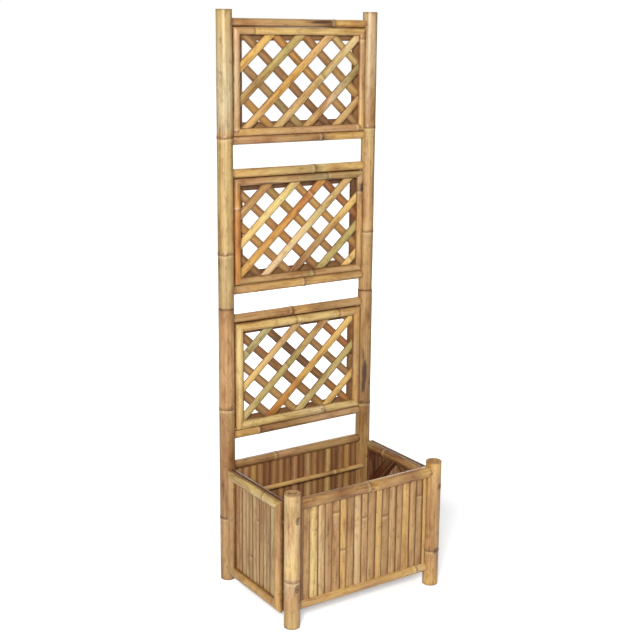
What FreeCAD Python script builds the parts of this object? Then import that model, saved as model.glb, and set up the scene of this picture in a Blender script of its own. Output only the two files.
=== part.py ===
"""A floor planter with a tall trellis, all of bamboo culms, half culms and split slats.

Millimetres. X runs along the width, Y from front to rear, Z up. The origin lies on the
ground under the middle of the four posts. Two short posts stand in front and two tall ones,
each plugged together from two culms, at the rear. Pole rails join them. Three lattice panels
fill the trellis, and slatted walls make the box at its foot.
"""

import FreeCAD, Part
import math
import os

os.makedirs("parts", exist_ok=True)
doc = FreeCAD.newDocument("planter_with_trellis")

# ---------------------------------------------------------------- driving dimensions

SIZES = {
    # footprint over the plain posts, and the height of the rear posts
    "overall_width": 402.5,
    "overall_depth": 302.5,
    "overall_height": 1250,
    # posts
    "post_diameter": 34.5,
    "upper_post_diameter": 32.5,
    "post_bore": 20,
    "post_joint_rise": 25.7,
    "left_front_stub": 28,
    "right_front_stub": 23,
    "left_front_recess": 4,
    "right_front_recess": 42,
    "post_top_web": 7,
    # swollen nodes of the posts, up from the ground, and of the upper ones from the joint
    "left_front_node": 104.8,
    "right_front_node": 82.5,
    "left_rear_low_node": 147.5,
    "left_rear_mid_node": 400.6,
    "left_rear_upper_node": 117.7,
    "left_rear_top_node": 363,
    "right_rear_low_node": 104,
    "right_rear_mid_node": 353.6,
    "right_rear_upper_node": 136.5,
    "right_rear_top_node": 372,
    "post_ring_rise": 1,
    "post_ring_round": 3.2,
    "node_web": 5,
    # trellis rails: diameter, axis above the rail below, and the node's place along X
    "top_upper_rail": 17.6,
    "top_upper_drop": 25.7,
    "top_upper_node": 85,
    "top_lower_rail": 18.3,
    "top_lower_rise": 68.8,
    "top_lower_node": 55,
    "middle_upper_rail": 20.3,
    "middle_upper_rise": 250.5,
    "middle_upper_node": 36,
    "middle_lower_rail": 21,
    "middle_lower_rise": 63.4,
    "middle_lower_node": 10,
    "lower_upper_rail": 20.5,
    "lower_upper_rise": 262.7,
    "lower_upper_node": -21,
    "lower_lower_rail": 20,
    "lower_lower_rise": 71.6,
    "lower_lower_node": -105,
    # box rails
    "front_upper_rail": 25,
    "front_upper_height": 268,
    "front_upper_node": 5,
    "front_lower_rail": 19,
    "front_lower_node": 137,
    "rear_upper_rail": 21,
    "rear_upper_height": 266,
    "rear_upper_node": -60,
    "rear_lower_rail": 19,
    "rear_lower_node": 60,
    "box_lower_height": 43.5,
    "rail_bore": 8.4,
    "rail_ring_rise": 0.8,
    "rail_ring_round": 2.4,
    # lattice panels
    "top_frame_round": 8.2,
    "middle_frame_round": 8.2,
    "lower_frame_round": 10,
    "rear_frame_width": 28,
    "rear_frame_depth": 9,
    "lattice_angle": 42.3,
    "lattice_slat_width": 20,
    "lattice_slat_thickness": 4.5,
    "lattice_skin_radius": 26,
    "lattice_inset": 7,
    "lattice_shortest": 43,
    "top_slash_pitch": 76.2,
    "top_slash_start": -27.5,
    "top_back_pitch": 73,
    "top_back_start": -30,
    "middle_slash_pitch": 70.4,
    "middle_slash_start": 23,
    "middle_back_pitch": 76.2,
    "middle_back_start": 18,
    "lower_slash_pitch": 75.8,
    "lower_slash_start": -37.5,
    "lower_back_pitch": 71.5,
    "lower_back_start": 25,
    # slatted walls of the box
    "wall_slat_thickness": 5,
    "wall_slat_pitch": 18.5,
    "front_first_slat": 6.7,
    "side_slat_pitch": 14.7,
    "wall_skin_radius": 22,
    "wall_slat_gap": 0.5,
    "slat_variation": 1.2,
    "groove_floor": 0.8,
    "side_frame_round": 11.5,
    "side_frame_low": 18,
    "side_frame_high": 266,
    "side_panel_gap": 12.15,
    "side_outset": 1.5,
    "side_inset": 7,
    "brace_angle": 48,
    "rear_brace_width": 30,
    "front_brace_width": 23,
    "brace_thickness": 6,
    "brace_skin_radius": 30,
    # cross bar inside the rear wall
    "cross_bar_diameter": 11,
    "cross_bar_height": 199,
    "cross_bar_setback": 14,
    "cross_bar_right_inset": 5,
    # floor of the box
    "bearer_diameter": 16,
    "bearer_spread": 116,
    "bearer_bore": 7,
    "floor_slat_thickness": 5,
    "floor_slat_pitch": 19,
    "floor_slat_gap": 3,
    "floor_skin_radius": 24,
    "floor_post_inset": 19,
    "floor_rail_gap": 1.5,
    # pins that hold it together
    "joint_peg_half": 60,
    "rail_peg_length": 26,
    "side_pin_low": 66,
    "side_pin_high": 222,
    "brad_diameter": 1.6,
    "brad_bite": 5,
    "brad_edge": 5,
    # clearances
    "cope_gap": 0.3,
    "face_gap": 0.1,
    "pin_gap": 0.1,
}

sheet = doc.addObject("Spreadsheet::Sheet", "sizes")
for row, (alias, number) in enumerate(SIZES.items(), start=1):
    sheet.set(f"A{row}", alias)
    sheet.set(f"B{row}", str(number))
    sheet.setAlias(f"B{row}", alias)
doc.recompute()

# Formulas that several pieces share
POST_X = "(sizes.overall_width - sizes.post_diameter) / 2"
POST_Y = "(sizes.overall_depth - sizes.post_diameter) / 2"
LATTICE_FLAT = "(sizes.lattice_slat_thickness + 1.5 * sizes.face_gap)"
SIDE_FLAT = "(sizes.wall_slat_thickness / 2 + sizes.face_gap)"
SIDE_PLANE = f"({POST_X} + sizes.side_outset)"

X_AXIS = FreeCAD.Vector(1, 0, 0)
Y_AXIS = FreeCAD.Vector(0, 1, 0)
Z_AXIS = FreeCAD.Vector(0, 0, 1)
GOLDEN_TURN = 137.5
LONG_ENOUGH = "(sizes.overall_width + sizes.overall_height)"
IN_WALL = "(sizes.post_bore / 2 + sizes.cope_gap)"

nodes = []


def number_of(formula):
    """The number that a formula of the sheet's sizes comes to."""
    return float(sheet.evalExpression(formula))


# ---------------------------------------------------------------- shapes


def place(thing, at, across=X_AXIS, out=Y_AXIS):
    """Puts a shape's origin at three formulas, with its own X along across and Y along out."""
    turn = FreeCAD.Rotation(across, out, across.cross(out), "XYZ")
    thing.Placement = FreeCAD.Placement(FreeCAD.Vector(), turn)
    for letter, formula in zip("xyz", at):
        thing.setExpression(f"Placement.Base.{letter}", formula)
    return thing


def primitive(kind, at, directions=(X_AXIS, Y_AXIS), **formulas):
    """One parametric primitive with each size bound to a formula."""
    thing = doc.addObject(f"Part::{kind}", kind.lower())
    for name, formula in formulas.items():
        thing.setExpression(name, formula)
    return place(thing, at, *directions)


def box(low, size):
    """A box from its lowest corner and its three sizes."""
    return primitive("Box", low, Length=size[0], Width=size[1], Height=size[2])


TURNED = {"x": (Y_AXIS, Z_AXIS), "y": (Z_AXIS, X_AXIS), "z": (X_AXIS, Y_AXIS)}


def on_axis(along, axial, cross):
    """Three coordinates of a point on a line along one axis, from the two other ones."""
    spot = list(cross)
    spot.insert("xyz".index(along), axial)
    return spot


def rod(along, start, end, cross, radius):
    """A cylinder along an axis, from one coordinate to another."""
    spot = on_axis(along, start, cross)
    length = f"({end}) - ({start})"
    return primitive("Cylinder", spot, TURNED[along], Radius=radius, Height=length)


def fuse(things):
    """One shape of all the things."""
    if len(things) == 1:
        return things[0]
    joined = doc.addObject("Part::MultiFuse", "joined")
    joined.Shapes = things
    return joined


def cut(base, tools):
    """The base without the tools."""
    result = doc.addObject("Part::Cut", "cut")
    result.Base = base
    result.Tool = fuse(tools)
    return result


def common(base, tool):
    """What two shapes share."""
    result = doc.addObject("Part::Common", "common")
    result.Base = base
    result.Tool = tool
    return result


def node(label, things):
    """Names one sub-part, of one solid or of several separate ones."""
    thing = things[0]
    if len(things) > 1:
        thing = doc.addObject("Part::Compound", "group")
        thing.Links = things
    thing.Label = label
    nodes.append((thing, len(things)))


# ---------------------------------------------------------------- bamboo forms


def culm_skin(along, start, end, cross, radius, rings, rise, roundness, grow="0"):
    """The outside of a culm with a swollen ring at each node, grown by a clearance."""
    parts = [rod(along, start, end, cross, f"{radius} + {grow}")]
    for ring in rings:
        spot = on_axis(along, ring, cross)
        middle = f"{radius} + {rise} - {roundness}"
        thickness = f"{roundness} + {grow}"
        parts.append(primitive("Torus", spot, TURNED[along], Radius1=middle, Radius2=thickness))
    return fuse(parts)


def bores(along, cross, bore, stops):
    """The hollows of a culm between pairs of stops, which leave a web at each node."""
    return [rod(along, low, high, cross, f"{bore} / 2") for low, high in stops]


def slat(width, thickness, length, skin, at, across, out):
    """A split slat: flat inside, rounded skin outside, centred on its width and length."""
    low = (f"-({width}) / 2", "0", f"-({length}) / 2")
    blank = box(low, (width, thickness, length))
    axis = ("0", f"{thickness} - {skin}", f"-({length}) / 2")
    round_skin = primitive("Cylinder", axis, Radius=skin, Height=length)
    return place(common(blank, round_skin), at, across, out)


def batten(length, width, depth, at, across, out):
    """A split culm, mitred at both ends: X runs along its outer edge, Y to its inner edge."""
    skin = f"((({width}) ^ 2 / 4 + ({depth}) ^ 2) / (2 * ({depth})))"
    axis = ("0", f"({width}) / 2", f"({depth}) - {skin}")
    bar = primitive("Cylinder", axis, TURNED["x"], Radius=skin, Height=length)
    wedge = primitive(
        "Wedge",
        ("0", "0", "0"),
        Xmin="0",
        Xmax=length,
        Ymin="0",
        Ymax=width,
        Zmin="0",
        Zmax=depth,
        X2min=width,
        X2max=f"({length}) - ({width})",
        Z2min="0",
        Z2max=depth,
    )
    return place(common(bar, wedge), at, across, out)


# ---------------------------------------------------------------- posts

BOX_RAILS = ("front_upper", "front_lower", "rear_upper", "rear_lower")
RAILS = {
    # name: (row of posts, size aliases' stem)
    "top_panel_upper_rail": ("upper", "top_upper"),
    "top_panel_lower_rail": ("upper", "top_lower"),
    "middle_panel_upper_rail": ("upper", "middle_upper"),
    "middle_panel_lower_rail": ("upper", "middle_lower"),
    "lower_panel_upper_rail": ("rear", "lower_upper"),
    "lower_panel_lower_rail": ("rear", "lower_lower"),
    "box_rear_upper_rail": ("rear", "rear_upper"),
    "box_rear_lower_rail": ("rear", "rear_lower"),
    "box_front_upper_rail": ("front", "front_upper"),
    "box_front_lower_rail": ("front", "front_lower"),
}
ROW_Y = {"front": f"-({POST_Y})", "rear": POST_Y, "upper": POST_Y}
# the floor lies level on the two lower rails of the box, so they share one height
HEIGHTS = {"front_lower": "sizes.box_lower_height", "rear_lower": "sizes.box_lower_height"}
HEIGHTS["front_upper"] = "sizes.front_upper_height"
HEIGHTS["rear_upper"] = "sizes.rear_upper_height"
below = HEIGHTS["rear_upper"]
for stem in ("lower_lower", "lower_upper", "middle_lower", "middle_upper", "top_lower"):
    below = HEIGHTS[stem] = f"({below} + sizes.{stem}_rise)"
HEIGHTS["top_upper"] = "(sizes.overall_height - sizes.top_upper_drop)"
SIDES = {"left": -1, "right": 1}

WEB = "sizes.node_web / 2"
JOINT = f"({HEIGHTS['lower_upper']} + sizes.post_joint_rise)"
SECTIONS = {}  # (row, side): bottom, top, nodes, hollows between webs
for side in SIDES:
    front_node = f"sizes.{side}_front_node"
    front_top = f"({HEIGHTS['front_upper']} + sizes.{side}_front_stub)"
    recess = f"sizes.{side}_front_recess"
    SECTIONS[("front", side)] = (
        "0",
        front_top,
        [front_node],
        [
            ("0", f"{front_node} - {WEB}"),
            (f"{front_node} + {WEB}", f"{front_top} - {recess} - sizes.node_web"),
            (f"{front_top} - {recess}", front_top),
        ],
    )
for side in SIDES:
    low_node = f"sizes.{side}_rear_low_node"
    mid_node = f"sizes.{side}_rear_mid_node"
    upper_node = f"{JOINT} + sizes.{side}_rear_upper_node"
    top_node = f"{JOINT} + sizes.{side}_rear_top_node"
    SECTIONS[("rear", side)] = (
        "0",
        JOINT,
        [low_node, mid_node],
        [
            ("0", f"{low_node} - {WEB}"),
            (f"{low_node} + {WEB}", f"{mid_node} - {WEB}"),
            (f"{mid_node} + {WEB}", JOINT),
        ],
    )
    SECTIONS[("upper", side)] = (
        f"{JOINT} + sizes.face_gap",
        "sizes.overall_height",
        [upper_node, top_node],
        [
            (f"{JOINT} + sizes.face_gap", f"{upper_node} - {WEB}"),
            (f"{upper_node} + {WEB}", f"{top_node} - {WEB}"),
            (f"{top_node} + {WEB}", "sizes.overall_height - sizes.post_top_web"),
        ],
    )


def post_radius(row):
    """The plain radius of the posts in a row."""
    alias = "upper_post_diameter" if row == "upper" else "post_diameter"
    return f"sizes.{alias} / 2"


def post_cross(row, side):
    """Where a post's axis meets the ground."""
    return (f"{SIDES[side]} * {POST_X}", ROW_Y[row])


def post_skin(row, side, grow="0"):
    """A post's outside, or the room that pieces coped onto it leave."""
    bottom, top, rings, _ = SECTIONS[(row, side)]
    sizes = (post_radius(row), rings, "sizes.post_ring_rise", "sizes.post_ring_round", grow)
    return culm_skin("z", bottom, top, post_cross(row, side), *sizes)


def rail_skin(rail, grow="0"):
    """A rail's outside between the posts' axes, or the room that pieces coped onto it leave."""
    row, stem = RAILS[rail]
    cross = (ROW_Y[row], HEIGHTS[stem])
    rings = [f"sizes.{stem}_node"]
    radius = f"sizes.{stem}_rail / 2"
    sizes = (radius, rings, "sizes.rail_ring_rise", "sizes.rail_ring_round", grow)
    return culm_skin("x", f"-({POST_X})", POST_X, cross, *sizes)


def peg_rod(rail, side, gap, inside, length):
    """A peg's rod, or its hole, from the wall of a post into the end of a rail."""
    row, stem = RAILS[rail]
    cross = (ROW_Y[row], HEIGHTS[stem])
    near = f"({POST_X} - {inside})"
    far = f"({near} - {length})"
    radius = f"sizes.rail_bore / 2 - sizes.pin_gap + {gap}"
    if side == "left":
        return rod("x", f"-{near}", f"-{far}", cross, radius)
    return rod("x", far, near, cross, radius)


# Each side panel stands against one post and leaves its gap at the other
PANEL_END = f"({POST_Y} - sizes.post_diameter / 2 - sizes.post_ring_rise - sizes.cope_gap)"
PANEL_SPAN = {
    "left": (f"-{PANEL_END} + sizes.side_panel_gap", PANEL_END),
    "right": (f"-{PANEL_END}", f"{PANEL_END} - sizes.side_panel_gap"),
}


def side_pin(row, side, height, gap, inside):
    """A pin's rod, or its hole, from the wall of a post into the edge of a side panel."""
    cross = (f"{SIDES[side]} * {SIDE_PLANE}", height)
    radius = f"{SIDE_FLAT} - sizes.pin_gap + {gap}"
    bite = "(sizes.side_inset - sizes.cope_gap)"
    low, high = PANEL_SPAN[side]
    if row == "front":
        return rod("y", f"-({POST_Y}) + {inside}", f"({low}) + {bite}", cross, radius)
    return rod("y", f"({high}) - {bite}", f"{POST_Y} - {inside}", cross, radius)


PIN_HEIGHTS = ("sizes.side_pin_low", "sizes.side_pin_high")
POST_LABELS = {
    "front": "front_post_{}",
    "rear": "rear_post_{}_lower",
    "upper": "rear_post_{}_upper",
}

for (row, side), (bottom, top, rings, hollows) in SECTIONS.items():
    cross = post_cross(row, side)
    tools = bores("z", cross, "sizes.post_bore", hollows)
    for rail, (rail_row, _) in RAILS.items():
        if ROW_Y[rail_row] == ROW_Y[row]:
            tools.append(peg_rod(rail, side, "sizes.pin_gap", "0", "sizes.post_diameter"))
    if row != "upper":
        for height in PIN_HEIGHTS:
            tools.append(side_pin(row, side, height, "sizes.pin_gap", "0"))
    node(POST_LABELS[row].format(side), [cut(post_skin(row, side), tools)])

peg_low = f"{JOINT} - sizes.joint_peg_half"
peg_high = f"{JOINT} + sizes.joint_peg_half"
peg_radius = "sizes.post_bore / 2 - sizes.pin_gap"
joint_pegs = [
    rod("z", peg_low, peg_high, post_cross("rear", side), peg_radius) for side in SIDES
]
node("post_joint_pegs", joint_pegs)

# ---------------------------------------------------------------- rails

room = {key: post_skin(*key, grow="sizes.cope_gap") for key in SECTIONS}
GROOVE_BOTTOM = "(sizes.rail_bore / 2 + sizes.groove_floor)"
rail_pegs = []
for rail, (row, stem) in RAILS.items():
    ring = f"sizes.{stem}_node"
    hollows = [(f"-({POST_X})", f"{ring} - {WEB}"), (f"{ring} + {WEB}", POST_X)]
    tools = bores("x", (ROW_Y[row], HEIGHTS[stem]), "sizes.rail_bore", hollows)
    if stem in BOX_RAILS:
        # the wall's slats stand in a groove, which faces the other rail of the wall
        slot_width = "(sizes.wall_slat_thickness + 2 * sizes.cope_gap)"
        slot_depth = f"sizes.{stem}_rail - {GROOVE_BOTTOM}"
        slot_low = f"{HEIGHTS[stem]} + {GROOVE_BOTTOM}"
        if stem.endswith("upper"):
            slot_low = f"{HEIGHTS[stem]} - sizes.{stem}_rail"
        low = (f"-({POST_X})", f"{ROW_Y[row]} - {slot_width} / 2", slot_low)
        tools.append(box(low, (f"2 * {POST_X}", slot_width, slot_depth)))
    tools += [room[key] for key in SECTIONS if ROW_Y[key[0]] == ROW_Y[row]]
    node(rail, [cut(rail_skin(rail), tools)])
    for side in SIDES:
        peg = peg_rod(rail, side, "0", IN_WALL, "sizes.rail_peg_length")
        rail_pegs.append(peg)
node("rail_pegs", rail_pegs)

# ---------------------------------------------------------------- framed panels

brads = []


def frame(label, normal, flat, span, heights, section, separate):
    """Four mitred split culms round an opening. normal is where their round backs face.

    section is their width and depth.
    """
    level = Y_AXIS if abs(normal.x) > 0 else X_AXIS
    inward = {"upper": -Z_AXIS, "lower": Z_AXIS, "low": level, "high": -level}
    middle = f"(({span[0]}) + ({span[1]})) / 2"
    centre = f"(({heights[0]}) + ({heights[1]})) / 2"
    edge = "sizes.brad_edge"
    spots = {
        "upper": (middle, f"({heights[1]}) - {edge}"),
        "lower": (middle, f"({heights[0]}) + {edge}"),
        "low": (f"({span[0]}) + {edge}", centre),
        "high": (f"({span[1]}) - {edge}", centre),
    }
    pieces = {}
    for name, inner in inward.items():
        along = inner.cross(normal)
        level_part = span[0] if (along + inner).dot(level) > 0 else span[1]
        height_part = heights[0] if (along + inner).dot(Z_AXIS) > 0 else heights[1]
        lies_level = name in ("upper", "lower")
        ends = span if lies_level else heights
        length = f"({ends[1]}) - ({ends[0]})"
        at = (flat, level_part, height_part)
        if level == X_AXIS:
            at = (level_part, flat, height_part)
        piece = batten(length, *section, at, along, inner)
        hole = brad(normal, flat, spots[name], "sizes.pin_gap")
        pieces[name] = cut(piece, [hole])
    if separate:
        names = {"low": "front", "high": "rear"}
        if level == X_AXIS:
            names = {"low": "left", "high": "right"}
        for name, piece in pieces.items():
            node(f"{label}_{names.get(name, name)}", [piece])
    else:
        node(label, list(pieces.values()))
    return spots


def brad(normal, flat, spot, grow):
    """A brad's hole in one half culm, square to the panel."""
    along = "x" if abs(normal.x) > 0 else "y"
    sign = 1 if normal.x + normal.y > 0 else -1
    inner = f"({flat}) - {sign} * sizes.wall_slat_thickness"
    outer = f"({flat}) + {sign} * (sizes.brad_bite + sizes.face_gap)"
    start, end = (inner, outer) if sign > 0 else (outer, inner)
    return rod(along, start, end, spot, f"sizes.brad_diameter / 2 + {grow}")


def add_brads(along, plane, flat, spots):
    """Each brad crosses the gap between a front and a rear half culm."""
    for spot in spots.values():
        reach = f"({flat} + sizes.brad_bite)"
        start = f"{plane} - {reach}"
        brads.append(rod(along, start, f"{plane} + {reach}", spot, "sizes.brad_diameter / 2"))


# ---------------------------------------------------------------- trellis panels


def lattice_layer(label, stem, slope, normal, span, heights):
    """Parallel slats of one layer, trimmed to the middle of the frame around them."""
    inset = "sizes.lattice_inset"
    depth = "(3 * sizes.lattice_slat_thickness)"
    low = (f"({span[0]}) + {inset}", f"{POST_Y} - {depth}", f"({heights[0]}) + {inset}")
    width = f"({span[1]}) - ({span[0]}) - 2 * {inset}"
    height = f"({heights[1]}) - ({heights[0]}) - 2 * {inset}"
    window = box(low, (width, f"2 * {depth}", height))
    angle = math.radians(number_of("sizes.lattice_angle"))
    limit = f"(({width}) / 2 + ({height}) / 2 / tan(sizes.lattice_angle) - sizes.lattice_shortest)"
    first = math.ceil(number_of(f"(-{limit} - sizes.{stem}_start) / sizes.{stem}_pitch"))
    last = math.floor(number_of(f"({limit} - sizes.{stem}_start) / sizes.{stem}_pitch"))
    run = slope * X_AXIS * math.cos(angle) + Z_AXIS * math.sin(angle)
    across = normal.cross(run)
    centre = f"(({heights[0]}) + ({heights[1]})) / 2"
    layer_y = f"{POST_Y} + ({normal.y}) * sizes.face_gap / 2"
    slats = []
    for step in range(first, last + 1):
        spot = (f"sizes.{stem}_start + ({step}) * sizes.{stem}_pitch", layer_y, centre)
        strip = slat(
            "sizes.lattice_slat_width",
            "sizes.lattice_slat_thickness",
            LONG_ENOUGH,
            "sizes.lattice_skin_radius",
            spot,
            across,
            normal,
        )
        slats.append(common(strip, window))
    node(label, slats)


for panel, row in (("top", "upper"), ("middle", "upper"), ("lower", "rear")):
    reach = f"({post_radius(row)} + sizes.post_ring_rise)"
    beside_post = f"sqrt({reach} ^ 2 - {LATTICE_FLAT} ^ 2)"
    half_span = f"({POST_X} - {beside_post} - sizes.cope_gap)"
    span = (f"-{half_span}", half_span)
    seat = {}
    for rail in ("upper", "lower"):
        round_rail = f"(sizes.{panel}_{rail}_rail / 2 + sizes.rail_ring_rise)"
        seat[rail] = f"(sqrt({round_rail} ^ 2 - {LATTICE_FLAT} ^ 2) + sizes.cope_gap)"
    heights = (
        f"{HEIGHTS[panel + '_lower']} + {seat['lower']}",
        f"{HEIGHTS[panel + '_upper']} - {seat['upper']}",
    )
    radius = f"sizes.{panel}_frame_round"
    half_round = (f"2 * {radius}", radius)
    flatter = ("sizes.rear_frame_width", "sizes.rear_frame_depth")
    near = f"{POST_Y} - {LATTICE_FLAT}"
    far = f"{POST_Y} + {LATTICE_FLAT}"
    frame(f"{panel}_panel_front_frame", -Y_AXIS, near, span, heights, half_round, True)
    spots = frame(f"{panel}_panel_rear_frame", Y_AXIS, far, span, heights, flatter, False)
    add_brads("y", POST_Y, LATTICE_FLAT, spots)
    lattice_layer(f"{panel}_panel_front_lattice", f"{panel}_slash", 1, -Y_AXIS, span, heights)
    lattice_layer(f"{panel}_panel_rear_lattice", f"{panel}_back", -1, Y_AXIS, span, heights)

# ---------------------------------------------------------------- slatted walls


def slat_row(label, normal, inner_face, span, heights, pitch_alias, first=None):
    """Upright slats side by side, of slightly uneven widths, between two coordinates.

    They divide the span evenly, or start with one of a given width at the lower coordinate.
    """
    if first is None:
        count = round(number_of(f"(({span[1]}) - ({span[0]})) / sizes.{pitch_alias}"))
        step = f"(({span[1]}) - ({span[0]})) / {count}"
        first = step
    else:
        step = f"sizes.{pitch_alias}"
        count = 1 + round(number_of(f"(({span[1]}) - ({span[0]}) - {first}) / {step}"))

    def edge(number):
        """The seam before a slat, a little off its even place."""
        if number == 0:
            return f"({span[0]})"
        if number == count:
            return f"({span[1]})"
        shift = f"sizes.slat_variation * sin({GOLDEN_TURN * number})"
        return f"({span[0]}) + {first} + {number - 1} * {step} + {shift}"

    length = f"({heights[1]}) - ({heights[0]})"
    middle = f"(({heights[0]}) + ({heights[1]})) / 2"
    slats = []
    for number in range(count):
        low = edge(number)
        high = edge(number + 1)
        centre = f"(({low}) + ({high})) / 2"
        spot = (inner_face, centre, middle)
        if abs(normal.y) > 0:
            spot = (centre, inner_face, middle)
        width = f"({high}) - ({low}) - sizes.wall_slat_gap"
        thickness = "sizes.wall_slat_thickness"
        skin = "sizes.wall_skin_radius"
        slats.append(slat(width, thickness, length, skin, spot, normal.cross(Z_AXIS), normal))
    node(label, slats)


wall_half = f"({POST_X} - sizes.post_diameter / 2 - sizes.post_ring_rise - sizes.cope_gap)"
for row, normal in (("front", -Y_AXIS), ("rear", Y_AXIS)):
    heights = (
        f"{HEIGHTS[row + '_lower']} + {GROOVE_BOTTOM} + sizes.cope_gap",
        f"{HEIGHTS[row + '_upper']} - {GROOVE_BOTTOM} - sizes.cope_gap",
    )
    inner_face = f"{ROW_Y[row]} - ({normal.y}) * sizes.wall_slat_thickness / 2"
    span = (f"-{wall_half}", wall_half)
    first = "sizes.front_first_slat" if row == "front" else None
    slat_row(f"box_{row}_slats", normal, inner_face, span, heights, "wall_slat_pitch", first)

FRAME_WIDTH = "2 * sizes.side_frame_round"
for side, sign in SIDES.items():
    out = sign * X_AXIS
    plane = f"{sign} * {SIDE_PLANE}"
    low, high = PANEL_SPAN[side]
    heights = ("sizes.side_frame_low", "sizes.side_frame_high")
    half_round = (FRAME_WIDTH, "sizes.side_frame_round")
    outer_flat = f"{plane} + ({sign}) * {SIDE_FLAT}"
    inner_flat = f"{plane} - ({sign}) * {SIDE_FLAT}"
    span = (low, high)
    frame(f"box_{side}_outer_frame", out, outer_flat, span, heights, half_round, True)
    spots = frame(f"box_{side}_inner_frame", -out, inner_flat, span, heights, half_round, False)
    add_brads("x", plane, SIDE_FLAT, spots)
    slat_span = (f"({low}) + sizes.side_inset", f"({high}) - sizes.side_inset")
    slat_heights = (f"{heights[0]} + sizes.side_inset", f"{heights[1]} - sizes.side_inset")
    inner_face = f"{plane} - ({sign}) * sizes.wall_slat_thickness / 2"
    slat_row(f"box_{side}_slats", out, inner_face, slat_span, slat_heights, "side_slat_pitch")

    # two braces lean together under the middle of the inner frame's upper batten
    middle = f"(({low}) + ({high})) / 2"
    ceiling = f"{heights[1]} - {FRAME_WIDTH} - sizes.cope_gap"
    floor_level = f"{heights[0]} + {FRAME_WIDTH}"
    half_window = f"(({high}) - ({low})) / 2 - {FRAME_WIDTH} - sizes.cope_gap"
    braces = []
    for end, lean in (("front", -1), ("rear", 1)):
        width = f"sizes.{end}_brace_width"
        window_start = f"{middle} + sizes.cope_gap / 2"
        if lean < 0:
            window_start = f"{middle} - ({half_window})"
        window_low = (
            f"{plane} - sizes.overall_depth / 2",
            window_start,
            floor_level,
        )
        window_length = f"({half_window}) - sizes.cope_gap / 2"
        window_size = ("sizes.overall_depth", window_length, f"({ceiling}) - ({floor_level})")
        window = box(window_low, window_size)
        angle = math.radians(number_of("sizes.brace_angle"))
        run = -lean * Y_AXIS * math.cos(angle) + Z_AXIS * math.sin(angle)
        foot = f"{middle} + ({lean}) * {width} / 2 / sin(sizes.brace_angle)"
        strip = slat(
            width,
            "sizes.brace_thickness",
            "2 * sizes.overall_depth",
            "sizes.brace_skin_radius",
            (inner_flat, foot, ceiling),
            (-out).cross(run),
            -out,
        )
        braces.append(common(strip, window))
    node(f"box_{side}_braces", braces)

node("frame_brads", brads)
pins = [
    side_pin(row, side, height, "0", IN_WALL)
    for row in ("front", "rear")
    for side in SIDES
    for height in PIN_HEIGHTS
]
node("side_panel_pins", pins)

# ---------------------------------------------------------------- cross bar and floor

bar_cross = (f"{POST_Y} - sizes.cross_bar_setback", "sizes.cross_bar_height")
bar_left = f"-({SIDE_PLANE} - {SIDE_FLAT} - sizes.side_frame_round - sizes.cope_gap)"
bar_right = f"{POST_X} - sizes.cross_bar_right_inset"
bar = rod("x", bar_left, bar_right, bar_cross, "sizes.cross_bar_diameter / 2")
node("rear_cross_bar", [cut(bar, [room[("rear", side)] for side in SIDES])])

bearers = []
rail_room = []
floor_ends = {}
for row, sign in (("front", -1), ("rear", 1)):
    rail_room.append(rail_skin(f"box_{row}_lower_rail", grow="sizes.cope_gap"))
    reach = f"sizes.{row}_lower_rail / 2 + sizes.rail_ring_rise + sizes.floor_rail_gap"
    floor_ends[row] = f"{sign} * ({POST_Y} - ({reach}))"
for position in (-1, 0, 1):
    cross = (f"({position}) * sizes.bearer_spread", HEIGHTS["front_lower"])
    pole = rod("y", ROW_Y["front"], ROW_Y["rear"], cross, "sizes.bearer_diameter / 2")
    hollow = rod("y", ROW_Y["front"], ROW_Y["rear"], cross, "sizes.bearer_bore / 2")
    bearers.append(cut(pole, [hollow] + rail_room))
node("floor_bearers", bearers)

floor_depth = f"({floor_ends['rear']} - ({floor_ends['front']}))"
floor_count = round(number_of(f"{floor_depth} / sizes.floor_slat_pitch"))
floor_step = f"{floor_depth} / {floor_count}"
floor_bed = f"{HEIGHTS['front_lower']} + sizes.bearer_diameter / 2 + sizes.cope_gap"
floor_slats = []
for number in range(floor_count):
    strip = slat(
        f"{floor_step} - sizes.floor_slat_gap",
        "sizes.floor_slat_thickness",
        f"2 * ({POST_X} - sizes.floor_post_inset)",
        "sizes.floor_skin_radius",
        ("0", f"{floor_ends['front']} + {number + 0.5} * {floor_step}", floor_bed),
        Y_AXIS,
        Z_AXIS,
    )
    floor_slats.append(strip)
node("floor_slats", floor_slats)

# ---------------------------------------------------------------- checks and files

doc.recompute()
for thing in doc.Objects:
    if "Invalid" in thing.State or "Error" in thing.State:
        raise RuntimeError(f"{thing.Name} ({thing.Label}) failed: {thing.State}")
for thing, count in nodes:
    shape = thing.Shape
    if shape.isNull() or not shape.isValid():
        raise RuntimeError(f"{thing.Label} has no valid shape")
    if len(shape.Solids) != count:
        raise RuntimeError(f"{thing.Label} has {len(shape.Solids)} solids, not {count}")
for thing, _ in nodes:
    thing.Shape.exportStep(f"parts/{thing.Label}.step")
print(f"{len(nodes)} sub-parts, {sum(count for _, count in nodes)} solids")
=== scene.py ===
"""Dressed model of the bamboo planter with trellis.

Every culm, half culm and split slat is a mesh of rings swept along its length, with its
nodes, knots, sawn ends and uneven walls. Lengths inside the builders are millimetres.
"""

import bpy
import math

import numpy as np
from mathutils import Matrix, Vector


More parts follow.
